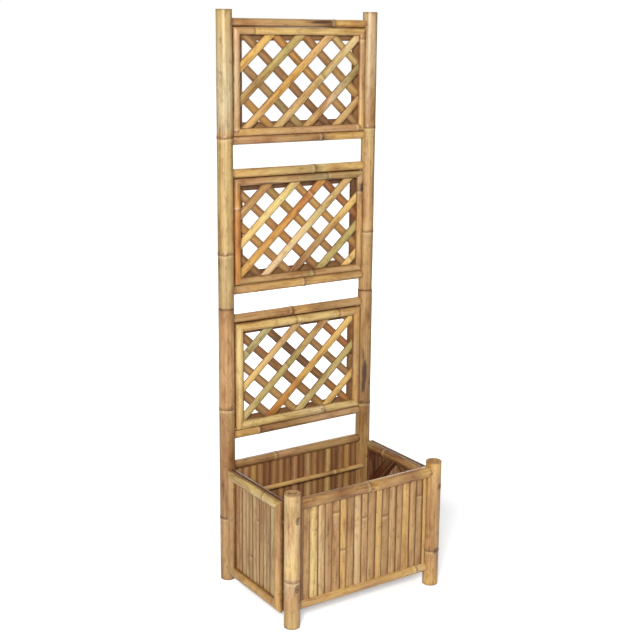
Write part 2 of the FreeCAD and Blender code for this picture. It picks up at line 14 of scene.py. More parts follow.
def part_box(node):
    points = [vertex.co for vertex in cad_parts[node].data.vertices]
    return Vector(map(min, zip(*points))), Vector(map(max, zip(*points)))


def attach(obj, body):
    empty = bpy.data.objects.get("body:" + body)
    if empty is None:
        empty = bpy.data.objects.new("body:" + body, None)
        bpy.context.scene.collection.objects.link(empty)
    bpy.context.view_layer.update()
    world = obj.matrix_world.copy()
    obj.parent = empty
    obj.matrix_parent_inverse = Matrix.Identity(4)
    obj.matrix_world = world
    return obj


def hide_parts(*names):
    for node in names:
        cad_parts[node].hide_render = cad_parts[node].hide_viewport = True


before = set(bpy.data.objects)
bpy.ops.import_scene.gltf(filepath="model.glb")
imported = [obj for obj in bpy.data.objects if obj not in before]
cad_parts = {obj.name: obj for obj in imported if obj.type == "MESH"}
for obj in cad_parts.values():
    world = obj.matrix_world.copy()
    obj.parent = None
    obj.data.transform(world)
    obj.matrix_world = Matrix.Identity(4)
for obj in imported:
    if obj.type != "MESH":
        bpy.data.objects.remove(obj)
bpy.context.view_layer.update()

MM = 0.001
SKIN, FLESH, SAWN = 0, 1, 2
X = np.array((1.0, 0.0, 0.0))
Y = np.array((0.0, 1.0, 0.0))
Z = np.array((0.0, 0.0, 1.0))
NO_RING = 20.0

# ---------------------------------------------------------------- colours

COLOURS = {
    "ivory": (191, 173, 132),
    "wheat": (183, 155, 100),
    "reed": (170, 143, 95),
    "almond": (187, 160, 119),
    "ochre": (166, 128, 75),
    "straw": (214, 186, 122),
    "cream": (228, 204, 156),
    "sand": (204, 172, 122),
    "honey": (204, 164, 98),
    "gold": (196, 150, 80),
    "amber": (188, 130, 64),
    "rust": (168, 106, 56),
    "tan": (184, 144, 94),
    "fawn": (172, 134, 86),
    "rose": (192, 150, 108),
    "blush": (202, 166, 130),
    "khaki": (184, 158, 104),
    "olive": (168, 146, 88),
    "sage": (162, 144, 96),
    "brown": (152, 110, 66),
    "chestnut": (132, 88, 52),
    "umber": (112, 76, 46),
    "walnut": (88, 58, 38),
    "mahogany": (88, 42, 19),
    "char": (54, 34, 28),
}


def linear(colour):
    """A palette name, or an sRGB triple, as linear light."""
    rgb = np.array(COLOURS[colour] if isinstance(colour, str) else colour, float) / 255
    return np.where(rgb <= 0.04045, rgb / 12.92, ((rgb + 0.055) / 1.055) ** 2.4)


def tones(stops):
    """A colour along a piece: one name, or (millimetres, name) stops."""
    if isinstance(stops, (str, tuple)):
        stops = [(0.0, stops)]
    places = [place for place, _ in stops]
    values = np.array([linear(colour) for _, colour in stops])

    def at(u):
        return np.stack([np.interp(u, places, values[:, k]) for k in range(3)], axis=-1)

    return at


# ---------------------------------------------------------------- meshes


class Pile:
    """The vertices, faces and surface attributes of one piece."""

    def __init__(self):
        self.points, self.faces, self.slots = [], [], []
        self.grain, self.tone, self.ring, self.stain, self.edge = [], [], [], [], []
        self.count = 0

    def grid(self, points, grain, tone, ring, stain, edge, kinds, ends=(SAWN, SAWN)):
        """A closed tube of rings. kinds holds the material slot of each quad or segment."""
        rows, around = points.shape[:2]
        start = self.count
        self.points.append(points.reshape(-1, 3))
        self.grain.append(np.broadcast_to(grain, points.shape).reshape(-1, 3))
        self.tone.append(np.broadcast_to(tone, points.shape).reshape(-1, 3))
        self.ring.append(np.broadcast_to(ring, (rows, around)).reshape(-1))
        self.stain.append(np.broadcast_to(stain, (rows, around)).reshape(-1))
        self.edge.append(np.broadcast_to(edge, (rows, around)).reshape(-1))
        index = start + np.arange(rows * around).reshape(rows, around)
        beside = np.roll(index, -1, axis=1)
        quads = np.stack([index[:-1], beside[:-1], beside[1:], index[1:]], axis=-1)
        self.faces += quads.reshape(-1, 4).tolist()
        self.slots += np.broadcast_to(kinds, (rows - 1, around)).reshape(-1).tolist()
        self.count += rows * around
        self.faces.append(index[0][::-1].tolist())
        self.faces.append(index[-1].tolist())
        self.slots += list(ends)

    def build(self, name, node, sharp=32.0):
        """Makes the object, and lets it stand for its CAD node."""
        mesh = bpy.data.meshes.new(name)
        points = np.concatenate(self.points)
        mesh.from_pydata((points * MM).tolist(), [], self.faces)
        for material in MATERIALS:
            mesh.materials.append(material)
        mesh.polygons.foreach_set("material_index", self.slots)
        for label, kind, field, values in (
            ("grain", "FLOAT_VECTOR", "vector", np.concatenate(self.grain)),
            ("ring", "FLOAT", "value", np.concatenate(self.ring)),
            ("stain", "FLOAT", "value", np.concatenate(self.stain)),
            # edge carries painted shade with some grime: darker at joints, mitres, sawn rims, hollows and undersides
            ("edge", "FLOAT", "value", np.concatenate(self.edge)),
        ):
            layer = mesh.attributes.new(label, kind, "POINT")
            layer.data.foreach_set(field, values.astype(np.float32).ravel())
        rgba = np.ones((len(points), 4), np.float32)
        rgba[:, :3] = np.concatenate(self.tone)
        layer = mesh.attributes.new("tone", "FLOAT_COLOR", "POINT")
        layer.data.foreach_set("color", rgba.ravel())
        mesh.polygons.foreach_set("use_smooth", [True] * len(mesh.polygons))
        mesh.update()
        if outward(points, self.faces) < 0:
            mesh.flip_normals()
        mesh.set_sharp_from_angle(angle=math.radians(sharp))
        piece = bpy.data.objects.new(name, mesh)
        bpy.context.scene.collection.objects.link(piece)
        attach(piece, "root")
        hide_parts(node)
        return piece


def outward(points, faces):
    """The sign of the enclosed volume, from the quads."""
    quads = np.array([face for face in faces if len(face) == 4])
    a, b, c, d = (points[quads[:, k]] for k in range(4))
    return float(np.sum(a * np.cross(b, c)) + np.sum(a * np.cross(c, d)))


def bell(distance, width):
    return np.exp(-((distance / width) ** 2))


def swelling(distance):
    """How far a node stands proud, by the distance along the culm from its scar."""
    ridge = 0.72 * bell(distance - 2.3, 2.4)
    scar = 0.85 * bell(distance + 0.9, 0.62)
    groove = 0.32 * bell(distance - 0.25, 0.42)
    return ridge + scar - groove


def steps(low, high, spacing, nodes=(), marks=()):
    """Stations along a piece, close together at its nodes and marks."""
    stations = set(np.linspace(low, high, max(3, round((high - low) / spacing) + 1)).tolist())
    for place in nodes:
        stations |= set((place + np.arange(-5.0, 8.01, 0.55)).tolist())
    for place, reach in marks:
        stations |= set((place + np.arange(-reach, reach + 0.01, 0.9)).tolist())
    kept = [low]
    for value in sorted(stations):
        if value - kept[-1] > 0.3 and value < high - 0.3:
            kept.append(value)
    return np.array(kept + [high])


def nearest(u, nodes):
    """The signed distance to the nearest node."""
    best = np.full(np.shape(u), NO_RING)
    for place in nodes:
        gap = u - place
        best = np.where(np.abs(gap) < np.abs(best), gap, best)
    return best


def knot_relief(du, da, size, rise):
    """A branch bud: a raised lip round a small dent, and the dark of it."""
    q = np.sqrt((du / (1.25 * size)) ** 2 + (da / size) ** 2)
    lip = rise * bell(q - 0.72, 0.26) - 0.6 * rise * bell(q, 0.42)
    dark = np.clip(0.75 * bell(q - 0.9, 0.17) + 0.8 * bell(q, 0.36) + 0.25 * bell(q, 0.9), 0, 1)
    return lip, dark


# ---------------------------------------------------------------- culms


def culm(pile, axes, cross, low, high, radius, nodes, tone, seed, **extra):
    """A round culm. axes are its two cross directions and its run.

    extra: knots (place, angle, size, rise), stains (place, angle, half length, half width,
    strength), cope (millimetres the ends stand off from the two axes they meet, and the
    radius there), crown and foot (rings that finish a sawn end), bend, around, scale.
    """
    rng = np.random.default_rng(seed)
    phase = rng.uniform(0, 2 * math.pi, 10)
    around = extra.get("around", 96)
    scale = extra.get("scale", 1.0)
    knots = extra.get("knots", ())
    stains = extra.get("stains", ())
    marks = [(k[0], 2.2 * k[2]) for k in knots] + [(s[0], 1.3 * s[2]) for s in stains]
    u = steps(low, high, extra.get("spacing", 4.0), nodes, marks)[:, None]
    turn = np.linspace(0, 2 * math.pi, around, endpoint=False)[None, :]
    wobble = 0.55 * np.cos(turn - phase[0]) + 0.22 * np.cos(3 * turn - phase[1])
    gap = nearest(u + 0 * turn, nodes) - wobble * scale
    plain = radius - 0.26
    plain = plain + 0.11 * np.cos(2 * turn + phase[2] + u / 190)
    plain = plain + 0.05 * np.cos(3 * turn + phase[3] - u / 70)
    plain = plain + 0.08 * np.sin(u / 47 + phase[4])
    plain = plain + 0.16 * scale * bell(gap, 13.0)
    around_node = np.clip(0.82 + 0.18 * np.cos(turn - phase[5]), 0, 1)
    r = plain + scale * around_node * swelling(gap)
    stain = np.zeros_like(r)
    for place, angle, size, rise in knots:
        away = (turn - angle + math.pi) % (2 * math.pi) - math.pi
        lip, dark = knot_relief(u - place, radius * away, size, rise)
        r = r + lip
        stain = np.maximum(stain, dark)
    for place, angle, half_length, half_width, strength in stains:
        away = (turn - angle + math.pi) % (2 * math.pi) - math.pi
        q = np.sqrt(((u - place) / half_length) ** 2 + (radius * away / half_width) ** 2)
        stain = np.maximum(stain, strength * np.clip(1.35 - q, 0, 1))
    span = high - low
    bow = extra.get("bend", 0.25) * np.sin(math.pi * (u - low) / span)
    first = r * np.cos(turn) + bow * math.cos(phase[6])
    second = r * np.sin(turn) + bow * math.sin(phase[6])
    along = u + 0 * turn
    if "cope" in extra:
        reach, post = extra["cope"]
        edge = reach - np.sqrt(np.maximum(post**2 - first**2, 0.0))
        along[0] = -edge[0]
        along[-1] = edge[-1]
    grain = np.stack([first, second, along], -1) * MM + rng.uniform(-3, 3, 3)
    colour = tones(tone)(along)
    kinds = np.full((len(u) - 1, around), SKIN)
    ring = np.clip(gap, -NO_RING, NO_RING)
    # painted shade with some grime: the culm darkens within a few millimetres of both ends, where it meets joints and
    # mitres
    edge = np.maximum(bell(along - along[0], 2.2), bell(along - along[-1], 2.2))
    edge = edge * extra.get("grime", 0.8)
    blocks = [(first, second, along, grain, colour, ring, stain, edge)]
    ends = [SAWN, SAWN]
    for which in ("foot", "crown"):
        if which not in extra:
            continue
        row = 0 if which == "foot" else -1
        # each finishing ring keeps its own painted shade and grime
        rim, more, rim_grime_and_painted_shade = [], [], []
        for share, shift, kind, grime in extra[which]:
            base = r[row]
            wide = np.where(share > 0, share, base + share)
            level = (low if which == "foot" else high) + shift
            rim.append(
                (
                    wide * np.cos(turn[0]),
                    wide * np.sin(turn[0]),
                    np.full(around, level),
                )
            )
            more.append(kind)
            rim_grime_and_painted_shade.append(grime)
        rim = [np.stack(part) for part in zip(*rim)]
        at = np.stack(rim, -1) * MM + grain[0, 0] - blocks[0][3][0, 0]
        block = (
            *rim,
            at + rng.uniform(-3, 3, 3),
            tones(tone)(rim[2]),
            np.full(rim[0].shape, NO_RING),
            np.zeros(rim[0].shape),
            np.repeat(np.array(rim_grime_and_painted_shade)[:, None], around, axis=1),
        )
        rows = np.repeat(np.array(more)[:, None], around, axis=1)
        if which == "foot":
            block = tuple(part[::-1] for part in block)
            blocks.insert(0, block)
            kinds = np.concatenate([rows[::-1], kinds])
            ends[0] = more[-1]
        else:
            blocks.append(block)
            kinds = np.concatenate([kinds, rows])
            ends[1] = more[-1]
    first, second, along, grain, colour, ring, stain, edge = (
        np.concatenate(part) for part in zip(*blocks)
    )
    one, two, run = axes
    points = (
        first[..., None] * one + second[..., None] * two + along[..., None] * run + np.array(cross)
    )
    if "box" in extra:
        points = np.clip(points, extra["box"][0] + 0.02, extra["box"][1] - 0.02)
    pile.grid(points, grain, colour, ring, stain, edge, kinds, tuple(ends))


def sawn(bore, depth):
    """Rings over a sawn end: rim, wall, and a hollow down to the web. Depth points inward.

    Each is a radius (or what it lies inside the rind), a rise, a material and its grime and painted shade, which
    darken the rim and the bottom of the hollow.
    """
    half = 0.5 * bore
    rings = [
        (-0.25, 0.0, SKIN, 0.5),
        (-0.6, 0.35, SAWN, 1.0),
        (-1.3, 0.42, SAWN, 0.25),
    ]
    if depth <= 0:
        return rings + [
            (half, 0.4, SAWN, 0.2),
            (0.8 * half, 0.2, SAWN, 0.35),
            (0.4 * half, 0.1, SAWN, 0.3),
        ]
    rings += [
        (half + 1.2, 0.42, SAWN, 0.1),
        (half + 0.3, 0.25, SAWN, 0.6),
        (half, -0.4, FLESH, 0.5),
        (half - 0.05, -0.45 * depth, FLESH, 0.5),
        (half - 0.3, -0.9 * depth, FLESH, 0.9),
        (0.9 * half, -depth, FLESH, 1.0),
        (0.5 * half, -depth, FLESH, 0.4),
        (0.1 * half, -depth, FLESH, 0.4),
    ]
    return rings


# ---------------------------------------------------------------- half culms and slats


def prism(pile, origin, axes, section, u, start, end, tone, seed, nodes=(), **extra):
    """A long piece with one cross section. axes are across, outward and run.

    section holds (across, out, kind) corners. start and end give the ends' places along the
    run by the distance across.
    """
    rng = np.random.default_rng(seed)
    phase = rng.uniform(0, 2 * math.pi, 10)
    scale = extra.get("scale", 0.8)
    b = np.array([corner[0] for corner in section])[None, :]
    h = np.array([corner[1] for corner in section])[None, :]
    kinds = np.array([corner[2] for corner in section])
    bulge = np.array([corner[3] for corner in section])[None, :]
    low, high = start(b), end(b)
    middle = u[:, None] + 0 * b
    along = np.clip(middle, low, high)
    along[0], along[-1] = low, high
    # stations that a slanted end has passed bunch up behind it
    inner = np.linspace(0.02, 0.98, len(u))[:, None]
    packed = low + (high - low) * inner
    squeezed = (middle <= low + 0.2) | (middle >= high - 0.2)
    squeezed[0] = squeezed[-1] = False
    if extra.get("slanted", False):
        share = (u[:, None] - u[0]) / (u[-1] - u[0])
        along = low + (high - low) * share
    else:
        along = np.where(squeezed, packed, along)
        along = np.maximum.accumulate(along, axis=0)
    wobble = 0.5 * np.sin(b / 7 + phase[0])
    gap = nearest(along, nodes) - wobble * scale
    lift = scale * swelling(gap) + 0.12 * np.sin(along / 61 + phase[1]) - 0.14
    stain = np.zeros_like(along)
    for place, across, size, rise in extra.get("knots", ()):
        bump, dark = knot_relief(along - place, b - across, size, rise)
        lift = lift + bump
        stain = np.maximum(stain, dark)
    for place, across, half_length, half_width, strength in extra.get("stains", ()):
        q = np.sqrt(((along - place) / half_length) ** 2 + ((b - across) / half_width) ** 2)
        stain = np.maximum(stain, strength * np.clip(1.35 - q, 0, 1))
    side = extra.get("side", 0.18) * np.sin(along / 83 + phase[2]) * np.sign(b - np.mean(b))
    side = side * (bulge < 0.05)
    out = h + lift * bulge
    if "skew" in extra:
        shift_low, shift_high = extra["skew"]
        share = (along - u[0]) / (u[-1] - u[0])
        half = np.clip(b / max(1e-6, np.max(np.abs(b))), -1, 1)
        low_side = shift_low[0] * (1 - share) + shift_low[1] * share
        high_side = shift_high[0] * (1 - share) + shift_high[1] * share
        side = side + np.where(half < 0, -half * low_side, half * high_side)
    across, outward_, run = axes
    points = (
        np.array(origin)
        + (b + side)[..., None] * across
        + out[..., None] * outward_
        + along[..., None] * run
    )
    grain = np.stack([b + side, out + 0 * b, along], -1) * MM + rng.uniform(-3, 3, 3)
    colour = tones(tone)(along) * np.array(extra.get("gain", (1.0, 1.0, 1.0)))
    ring = np.clip(gap, -NO_RING, NO_RING)
    rows = np.repeat(kinds[None, :], len(u) - 1, axis=0)
    # painted shade with some grime along the long edges and on the underside of each piece
    edge = np.broadcast_to(grime_and_painted_shade_of(section), along.shape) * extra.get("grime", 1.0)
    pile.grid(points, grain, colour, ring, stain, edge, rows)


def grime_and_painted_shade_of(section):
    """How much painted shade and grime each corner of a section gets: most at the long edges and on the faces under
    them.
    """
    across = np.array([corner[0] for corner in section])
    out = np.array([corner[1] for corner in section])
    middle = (across.max() + across.min()) / 2
    inside = (across.max() - across.min()) / 2 - np.abs(across - middle)
    under = np.clip(1 - out / max(1e-6, out.max()), 0, 1)
    return np.clip(bell(inside, 1.1) + 0.3 * under, 0, 1)[None, :]


def half_round(width, depth):
    """The section of a split culm, from its outer edge over its back to its inner edge."""
    skin = (width**2 / 4 + depth**2) / (2 * depth)
    half = math.asin(min(1.0, width / 2 / skin))
    section = []
    for step in range(25):
        angle = half * (step / 12 - 1)
        b = width / 2 + skin * math.sin(angle)
        h = depth - skin + skin * math.cos(angle)
        bulge = math.cos(math.pi / 2 * (step / 12 - 1)) ** 0.6 if 0 < step < 24 else 0.0
        section.append((b, max(h, 0.35), SKIN if step < 24 else FLESH, bulge))
    for b in (width - 0.3, 0.65 * width, 0.35 * width, 0.3):
        section.append((b, 0.0, FLESH, 0.0))
    return section


def split(width, thickness, skin):
    """The section of a split slat: flat inside, crowned skin outside, eased edges."""
    half = width / 2
    ease = 0.45
    section = []
    for step in range(13):
        b = -half + ease + (width - 2 * ease) * step / 12
        h = thickness - skin + math.sqrt(skin**2 - b**2)
        section.append((b, h, SKIN, 1.0))
    top = section[0][1]
    section[-1] = (*section[-1][:2], FLESH, 1.0)
    section += [(half, top - 1.1 * ease, FLESH, 0.0), (half, 0.4, FLESH, 0.0)]
    section += [(half - 0.4, 0.0, FLESH, 0.0), (0.0, 0.0, FLESH, 0.0)]
    section += [(-half + 0.4, 0.0, FLESH, 0.0), (-half, 0.4, FLESH, 0.0)]
    section.append((-half, top - 1.1 * ease, FLESH, 0.0))
    return section


def half_culm(pile, corner, run, inward, normal, length, shape, tone, seed, nodes=(), **extra):
    """A mitred split culm of a frame, from the frame's corner along its outer edge."""
    u = steps(0.0, length, 5.0, nodes, [(k[0], 2 * k[2]) for k in extra.get("knots", ())])
    gap = 0.12
    prism(
        pile,
        corner,
        (inward, normal, run),
        half_round(*shape),
        u,
        lambda b: b + gap,
        lambda b: length - b - gap,
        tone,
        seed,
        nodes,
        **extra,
    )


# ---------------------------------------------------------------- reading the frame


def vertices(node):
    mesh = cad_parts[node].data
    points = np.empty(len(mesh.vertices) * 3, np.float32)
    mesh.vertices.foreach_get("co", points)
    return points.reshape(-1, 3).astype(float) / MM


def solids(node):
    """The vertices of each separate solid of a node, in the order of their middles."""
    points = vertices(node)
    keys = {}
    same = [keys.setdefault(tuple(np.round(p, 2)), len(keys)) for p in points]
    parent = list(range(len(keys)))

    def root(k):
        while parent[k] != k:
            parent[k] = parent[parent[k]]
            k = parent[k]
        return k

    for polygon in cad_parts[node].data.polygons:
        corners = [root(same[v]) for v in polygon.vertices]
        for corner in corners[1:]:
            parent[root(corner)] = root(corners[0])
    groups = {}
    for key, place in enumerate(same):
        groups.setdefault(root(place), []).append(points[key])
    found = [np.array(group) for group in groups.values()]
    return sorted(found, key=lambda g: tuple(np.round((g.min(0) + g.max(0)) / 2, 1)))


def corners(node):
    low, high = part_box(node)
    return np.array(low) / MM, np.array(high) / MM


def ring_places(node, axis, cross):
    """Where a culm's swollen nodes lie along its axis, and its plain radius."""
    points = vertices(node)
    others = [k for k in range(3) if k != axis]
    far = np.hypot(points[:, others[0]] - cross[0], points[:, others[1]] - cross[1])
    widest = far.max()
    shell = np.round(far[far > 0.7 * widest], 1)
    values, counts = np.unique(shell, return_counts=True)
    plain = float(values[counts.argmax()])
    places = np.sort(points[far > widest - 0.08, axis])
    rings = []
    for place in places:
        if not rings or place - rings[-1][-1] > 12:
            rings.append([])
        rings[-1].append(place)
    return [float(np.mean(group)) for group in rings], plain


# ---------------------------------------------------------------- materials


class Nodes:
    """Small helper to write a node tree."""

    def __init__(self, name):
        self.material = bpy.data.materials.new(name)
        self.material.use_nodes = True
        self.tree = self.material.node_tree
        self.shader = self.tree.nodes["Principled BSDF"]

    def add(self, kind, values=None, **settings):
        item = self.tree.nodes.new(kind)
        for key, value in settings.items():
            setattr(item, key, value)
        for key, value in (values or {}).items():
            self.put(item.inputs[key], value)
        return item

    def put(self, socket, value):
        if isinstance(value, bpy.types.NodeSocket):
            self.tree.links.new(value, socket)
        elif value is not None:
            socket.default_value = value

    def attribute(self, name, output="Vector"):
        return self.add("ShaderNodeAttribute", attribute_name=name).outputs[output]

    def math(self, operation, first, second=0.0, third=None):
        item = self.add("ShaderNodeMath", operation=operation)
        self.put(item.inputs[0], first)
        self.put(item.inputs[1], second)
        if third is not None:
            self.put(item.inputs[2], third)
        return item.outputs[0]

    def stretch(self, vector, by):
        item = self.add("ShaderNodeVectorMath", operation="MULTIPLY")
        self.put(item.inputs[0], vector)
        item.inputs[1].default_value = by
        return item.outputs[0]

    def noise(self, vector, by, detail=2.0, roughness=0.5, scale=1.0):
        values = {"Vector": self.stretch(vector, by), "Scale": scale, "Detail": detail}
        item = self.add("ShaderNodeTexNoise", values)
        item.inputs["Roughness"].default_value = roughness
        return item.outputs["Fac"]

    def span(self, value, low, high, to_low=0.0, to_high=1.0):
        item = self.add("ShaderNodeMapRange", {"Value": value})
        item.clamp = True
        for key, number in zip(
            ("From Min", "From Max", "To Min", "To Max"), (low, high, to_low, to_high)
        ):
            item.inputs[key].default_value = number
        return item.outputs[0]

    def mix(self, share, first, second, blend="MIX"):
        item = self.add("ShaderNodeMix", data_type="RGBA", blend_type=blend)
        self.put(item.inputs[0], share)
        self.put(item.inputs[6], first)
        self.put(item.inputs[7], second)
        return item.outputs[2]

    def bump(self, height, strength, distance, normal=None):
        values = {"Height": height, "Strength": strength, "Distance": distance}
        item = self.add("ShaderNodeBump", values)
        if normal is not None:
            self.put(item.inputs["Normal"], normal)
        return item.outputs["Normal"]


def rgba(colour):
    return (*linear(colour), 1.0)


def skin_material():
    """The smooth rind: blotches, fibre streaks, node scars, dark marks, painted shade with some grime towards joints
    and sawn rims, a soft gloss.
    """
    n = Nodes("bamboo_skin")
    grain = n.attribute("grain")
    tone = n.attribute("tone", "Color")
    ring = n.attribute("ring", "Fac")
    stain = n.attribute("stain", "Fac")
    edge = n.attribute("edge", "Fac")
    blotch = n.noise(grain, (46.0, 46.0, 12.0), 4.0, 0.62)
    cloud = n.noise(grain, (120.0, 120.0, 52.0), 4.0, 0.66)
    streak = n.noise(grain, (300.0, 300.0, 5.5), 4.0, 0.65)
    fibre = n.noise(grain, (1700.0, 1700.0, 14.0), 2.0, 0.6)
    colour = n.mix(n.span(blotch, 0.5, 0.7, 0.0, 0.72), tone, rgba("tan"), "MULTIPLY")
    colour = n.mix(n.span(blotch, 0.48, 0.28, 0.0, 0.3), colour, rgba("straw"))
    colour = n.mix(n.span(cloud, 0.53, 0.72, 0.0, 0.6), colour, rgba("brown"), "MULTIPLY")
    colour = n.mix(n.span(streak, 0.5, 0.74, 0.0, 0.62), colour, rgba("fawn"), "MULTIPLY")
    colour = n.mix(n.span(streak, 0.46, 0.26, 0.0, 0.28), colour, rgba("cream"))
    colour = n.mix(n.span(fibre, 0.5, 0.78, 0.0, 0.5), colour, rgba("tan"), "MULTIPLY")
    # small dark flecks along the fibres
    fleck = n.noise(grain, (420.0, 420.0, 95.0), 1.0, 0.5)
    colour = n.mix(n.span(fleck, 0.735, 0.79, 0.0, 0.55), colour, rgba("umber"))
    # the scar line of a node, the pale bloom under it and the darker band over it
    near = n.math("ABSOLUTE", n.math("ADD", ring, 0.1))
    line = n.span(near, 0.95, 0.3, 0.0, 0.85)
    ragged = n.noise(grain, (300.0, 300.0, 300.0), 2.0, 0.6)
    line = n.math("MULTIPLY", line, n.span(ragged, 0.3, 0.62, 0.25, 1.0))
    above = n.math("MULTIPLY", n.span(ring, 0.3, 1.2), n.span(ring, 7.0, 2.5))
    colour = n.mix(n.math("MULTIPLY", above, 0.45), colour, rgba("brown"), "MULTIPLY")
    below = n.math("MULTIPLY", n.span(ring, -1.2, -2.0), n.span(ring, -9.0, -2.5))
    colour = n.mix(n.math("MULTIPLY", below, 0.3), colour, rgba("cream"))
    colour = n.mix(line, colour, rgba("walnut"))
    rough_edge = n.noise(grain, (240.0, 240.0, 120.0), 3.0, 0.65)
    mark = n.math("SUBTRACT", n.math("MULTIPLY", stain, 1.5), n.math("MULTIPLY", rough_edge, 0.7))
    colour = n.mix(n.span(mark, 0.0, 0.75, 0.0, 0.88), colour, rgba("char"))
    # painted shade with some grime: the edge mask darkens the rind towards joints and sawn rims
    grime = n.math("MULTIPLY", edge, n.span(rough_edge, 0.25, 0.6, 0.45, 1.0))
    colour = n.mix(n.math("MULTIPLY", grime, 0.85), colour, rgba("chestnut"), "MULTIPLY")
    n.put(n.shader.inputs["Base Color"], colour)
    n.put(n.shader.inputs["Roughness"], n.span(cloud, 0.3, 0.7, 0.34, 0.5))
    n.shader.inputs["Coat Weight"].default_value = 0.2
    n.shader.inputs["Coat Roughness"].default_value = 0.3
    n.shader.inputs["IOR"].default_value = 1.45
    low = n.bump(fibre, 0.22, 0.00025)
    n.put(n.shader.inputs["Normal"], n.bump(cloud, 0.3, 0.0005, low))
    return n.material


def flesh_material():
    """The split or inner face: pale, matt, with coarse fibre bundles, and painted shade with some grime along edges
    and undersides.
    """
    n = Nodes("bamboo_flesh")
    grain = n.attribute("grain")
    tone = n.attribute("tone", "Color")
    streak = n.noise(grain, (700.0, 700.0, 10.0), 3.0, 0.65)
    blotch = n.noise(grain, (60.0, 60.0, 22.0), 3.0, 0.6)
    edge = n.attribute("edge", "Fac")
    colour = n.mix(0.3, tone, rgba("fawn"))
    colour = n.mix(n.span(streak, 0.45, 0.7, 0.0, 0.6), colour, rgba("brown"), "MULTIPLY")
    colour = n.mix(n.span(blotch, 0.5, 0.75, 0.0, 0.5), colour, rgba("chestnut"), "MULTIPLY")
    # painted shade with some grime from the edge mask
    colour = n.mix(n.math("MULTIPLY", edge, 0.8), colour, rgba("brown"), "MULTIPLY")
    n.put(n.shader.inputs["Base Color"], colour)
    n.put(n.shader.inputs["Roughness"], n.span(streak, 0.3, 0.7, 0.62, 0.8))
    n.put(n.shader.inputs["Normal"], n.bump(streak, 0.5, 0.0005))
    return n.material


def sawn_material():
    """A sawn end: pale, with the dots of the fibre bundles, and a dark rim of rind and a dark hollow, which are
    painted shade with some grime.
    """
    n = Nodes("bamboo_sawn")
    grain = n.attribute("grain")
    tone = n.attribute("tone", "Color")
    dots = n.add("ShaderNodeTexVoronoi", {"Vector": n.stretch(grain, (950.0, 950.0, 950.0))})
    dots.inputs["Scale"].default_value = 1.0
    dot = n.span(dots.outputs["Distance"], 0.34, 0.2, 0.0, 0.6)
    cloud = n.noise(grain, (140.0, 140.0, 140.0), 3.0, 0.6)
    edge = n.attribute("edge", "Fac")
    colour = n.mix(0.35, tone, rgba("tan"))
    colour = n.mix(n.span(cloud, 0.45, 0.7, 0.0, 0.6), colour, rgba("tan"), "MULTIPLY")
    colour = n.mix(dot, colour, rgba("brown"))
    # painted shade with some grime: the edge mask darkens the rim and the hollow
    colour = n.mix(n.math("MULTIPLY", edge, 0.85), colour, rgba("chestnut"), "MULTIPLY")
    n.put(n.shader.inputs["Base Color"], colour)
    n.put(n.shader.inputs["Roughness"], n.span(cloud, 0.3, 0.7, 0.68, 0.84))
    n.put(n.shader.inputs["Normal"], n.bump(dots.outputs["Distance"], 0.4, 0.0003))
    return n.material


def peg_painted_shade_material():
    """Turned hardwood of the hidden pegs and pins, painted dark brown so that they also stand in for the shade of the
    gaps they sit in.
    """
    n = Nodes("peg_wood_painted_shade")
    place = n.add("ShaderNodeTexCoord").outputs["Object"]
    streak = n.noise(place, (240.0, 240.0, 240.0), 4.0, 0.6)
    cloud = n.noise(place, (45.0, 45.0, 45.0), 3.0, 0.5)
    # the brown to walnut is partly painted shade, so the pins sink into their gaps
    colour = n.mix(n.span(streak, 0.35, 0.7), rgba("brown"), rgba("walnut"))
    colour = n.mix(n.span(cloud, 0.4, 0.7, 0.0, 0.3), colour, rgba("fawn"))
    n.put(n.shader.inputs["Base Color"], colour)
    n.put(n.shader.inputs["Roughness"], n.span(streak, 0.3, 0.7, 0.5, 0.7))
    n.put(n.shader.inputs["Normal"], n.bump(streak, 0.4, 0.0004))
    return n.material


def steel_material():
    """Drawn steel of the brads, a little tarnished."""
    n = Nodes("brad_steel")
    place = n.add("ShaderNodeTexCoord").outputs["Object"]
    scratch = n.noise(place, (900.0, 900.0, 900.0), 3.0, 0.6)
    cloud = n.noise(place, (160.0, 160.0, 160.0), 3.0, 0.6)
    colour = n.mix(n.span(cloud, 0.45, 0.7), (0.42, 0.41, 0.4, 1.0), (0.2, 0.15, 0.12, 1.0))
    n.put(n.shader.inputs["Base Color"], colour)
    n.shader.inputs["Metallic"].default_value = 1.0
    n.put(n.shader.inputs["Roughness"], n.span(scratch, 0.3, 0.7, 0.28, 0.5))
    n.put(n.shader.inputs["Normal"], n.bump(scratch, 0.2, 0.0001))
    return n.material


MATERIALS = [skin_material(), flesh_material(), sawn_material()]

# ---------------------------------------------------------------- posts

FRONT = math.radians(-122)  # the side of a post that the camera sees


def post(node, crown, foot, tone, seed, knots=(), stains=()):
    low, high = corners(node)
    rings, radius = ring_places(node, 2, ((low[0] + high[0]) / 2, (low[1] + high[1]) / 2))
    cross = ((low[0] + high[0]) / 2, (low[1] + high[1]) / 2, 0.0)
    shrink = 0.42  # the sawn rim's rise, kept inside the CAD's height
    pile = Pile()
    culm(
        pile,
        (X, Y, Z),
        cross,
        low[2] + shrink,
        high[2] - shrink,
        radius,
        rings,
        tone,
        seed,
        crown=crown,
        foot=foot,
        box=(low, high),
        knots=[(place, angle, size, rise) for place, angle, size, rise in knots],
        stains=stains,
    )
    pile.build(node + "_culm", node)


# rings of a joint's lip; the last number of each is its painted shade with some grime, darkest at the rim
JOINT_LIP = [
    (-0.5, 0.3, SAWN, 1.0),
    (-2.0, 0.4, SAWN, 0.8),
    (10.2, 0.4, SAWN, 0.5),
    (10.0, -3.0, FLESH, 0.6),
    (9.0, -3.2, FLESH, 0.6),
]
JOINT_FOOT = [(wide, -rise, kind, grime) for wide, rise, kind, grime in JOINT_LIP]
SAWN_FOOT = [(wide, -rise, kind, grime) for wide, rise, kind, grime in sawn(20.0, 18.0)]

